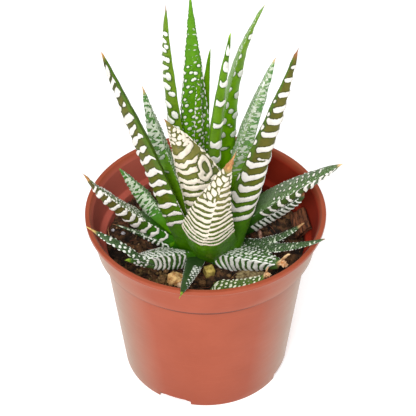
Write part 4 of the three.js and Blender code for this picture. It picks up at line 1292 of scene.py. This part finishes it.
def bark_section():
    """Section across the bark chip: flat below and ribbed above."""
    half = BARK["width"] / 2
    depth = BARK["depth"]
    section = [(-half, -depth / 2), (0, -depth / 2), (half, -depth / 2)]
    steps = 12 * BARK["ribs"]
    for step in range(steps + 1):
        rib = abs(math.sin(math.pi * BARK["ribs"] * step / steps))
        section.append((half - 2 * half * step / steps, depth / 5 + 0.3 * depth * rib**0.6))
    return np.array(section)


def bark_piece():
    """Flat bark chip with ribs along it and broken ends."""
    across, height = bark_section().T
    length = BARK["length"]
    places = [length * step / (BARK_RINGS - 1) - length / 2 for step in range(BARK_RINGS)]
    points = np.array([np.stack([across, np.full(across.shape, place), height], 1) for place in places])
    ragged = 0.8 * line_noise(across, 1.2, 3)
    points[0, :, 1] += ragged
    points[-1, :, 1] += ragged[::-1]
    points += 0.14 * layered_noise(askew(points), 1.1, 77)[..., None]
    points = turned(capped(points), BARK["lean"], 0, 2) + np.array([BARK["radius"], 0, BARK["height"]])
    points = turn_about_z(points, BARK["azimuth"])
    piece = tube_piece("bark_chip_surface", points, len(across), bark_material())
    hand_over(piece, "bark_chip")


def stem_look():
    """The stem stays as it is and gets a pale green skin."""
    nodes = Nodes("stem_skin")
    patch = nodes.noise(2, 4)
    colour = nodes.mix(nodes.fit(patch, 0.3, 0.7), (96, 130, 30), (140, 160, 60))
    material = nodes.finish(colour, 0.5, nodes.bump(patch, 0.1, 0.5))
    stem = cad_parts["stem"]
    stem.data.materials.clear()
    stem.data.materials.append(material)


# Studio

def add_holder(name, data, place, look):
    """A lamp or camera at a place in metres, turned along a direction."""
    holder = bpy.data.objects.new(name, data)
    bpy.context.scene.collection.objects.link(holder)
    holder.location = place
    holder.rotation_euler = look.to_track_quat("-Z", "Y").to_euler()
    return holder


def lamp(name, place, size, power):
    """Round soft lamp at a place in metres that shines on the plant."""
    light = bpy.data.lights.new(name, "AREA")
    light.shape = "DISK"
    light.size = size
    light.energy = power
    add_holder(name, light, place, Vector((0, 0, 0.08)) - Vector(place))


def studio():
    world = bpy.context.scene.world or bpy.data.worlds.new("studio")
    bpy.context.scene.world = world
    world.use_nodes = True
    sky = world.node_tree.nodes["Background"]
    sky.inputs["Color"].default_value = (1, 1, 1, 1)
    sky.inputs["Strength"].default_value = SKY_LIGHT

    grey = (FLOOR_GREY, FLOOR_GREY, FLOOR_GREY, 1)
    material = Nodes("floor_white").finish(
        grey, 1.0, Emission_Color=(1, 1, 1, 1), Emission_Strength=FLOOR_LIGHT)
    corners = [(FLOOR_REACH * x, FLOOR_REACH * y, -0.05) for x, y in ((-1, -1), (1, -1), (1, 1), (-1, 1))]
    mesh_piece("floor", corners, [(0, 1, 2, 3)], material, smooth=False)

    lamp("key_light", (-0.16, -0.68, 0.7), 0.45, KEY_POWER)
    lamp("top_light", (0.25, 0.1, 1.1), 0.6, TOP_POWER)
    view = bpy.context.scene.view_settings
    view.view_transform = "Standard"
    view.look = "None"
    view.exposure = 0
    view.gamma = 1


def camera():
    lens = bpy.data.cameras.new("camera")
    lens.lens = CAMERA_LENS
    lens.sensor_width = SENSOR_WIDTH
    lens.clip_start = 0.01
    lens.clip_end = 10
    rise = math.radians(CAMERA_ELEVATION)
    back = Vector((0, -math.cos(rise), math.sin(rise)))
    place = Vector(CAMERA_TARGET) * MM + back * CAMERA_DISTANCE * MM
    bpy.context.scene.camera = add_holder("camera", lens, place, -back)


camera()
studio()
pot_piece()
soil_piece()
for number, (name, values) in enumerate(LEAVES.items(), 1):
    leaf_piece(name, leaf_values(number, values))
for name, values in STONES.items():
    stone_piece(name, *values)
bark_piece()
litter_pieces()
stem_look()
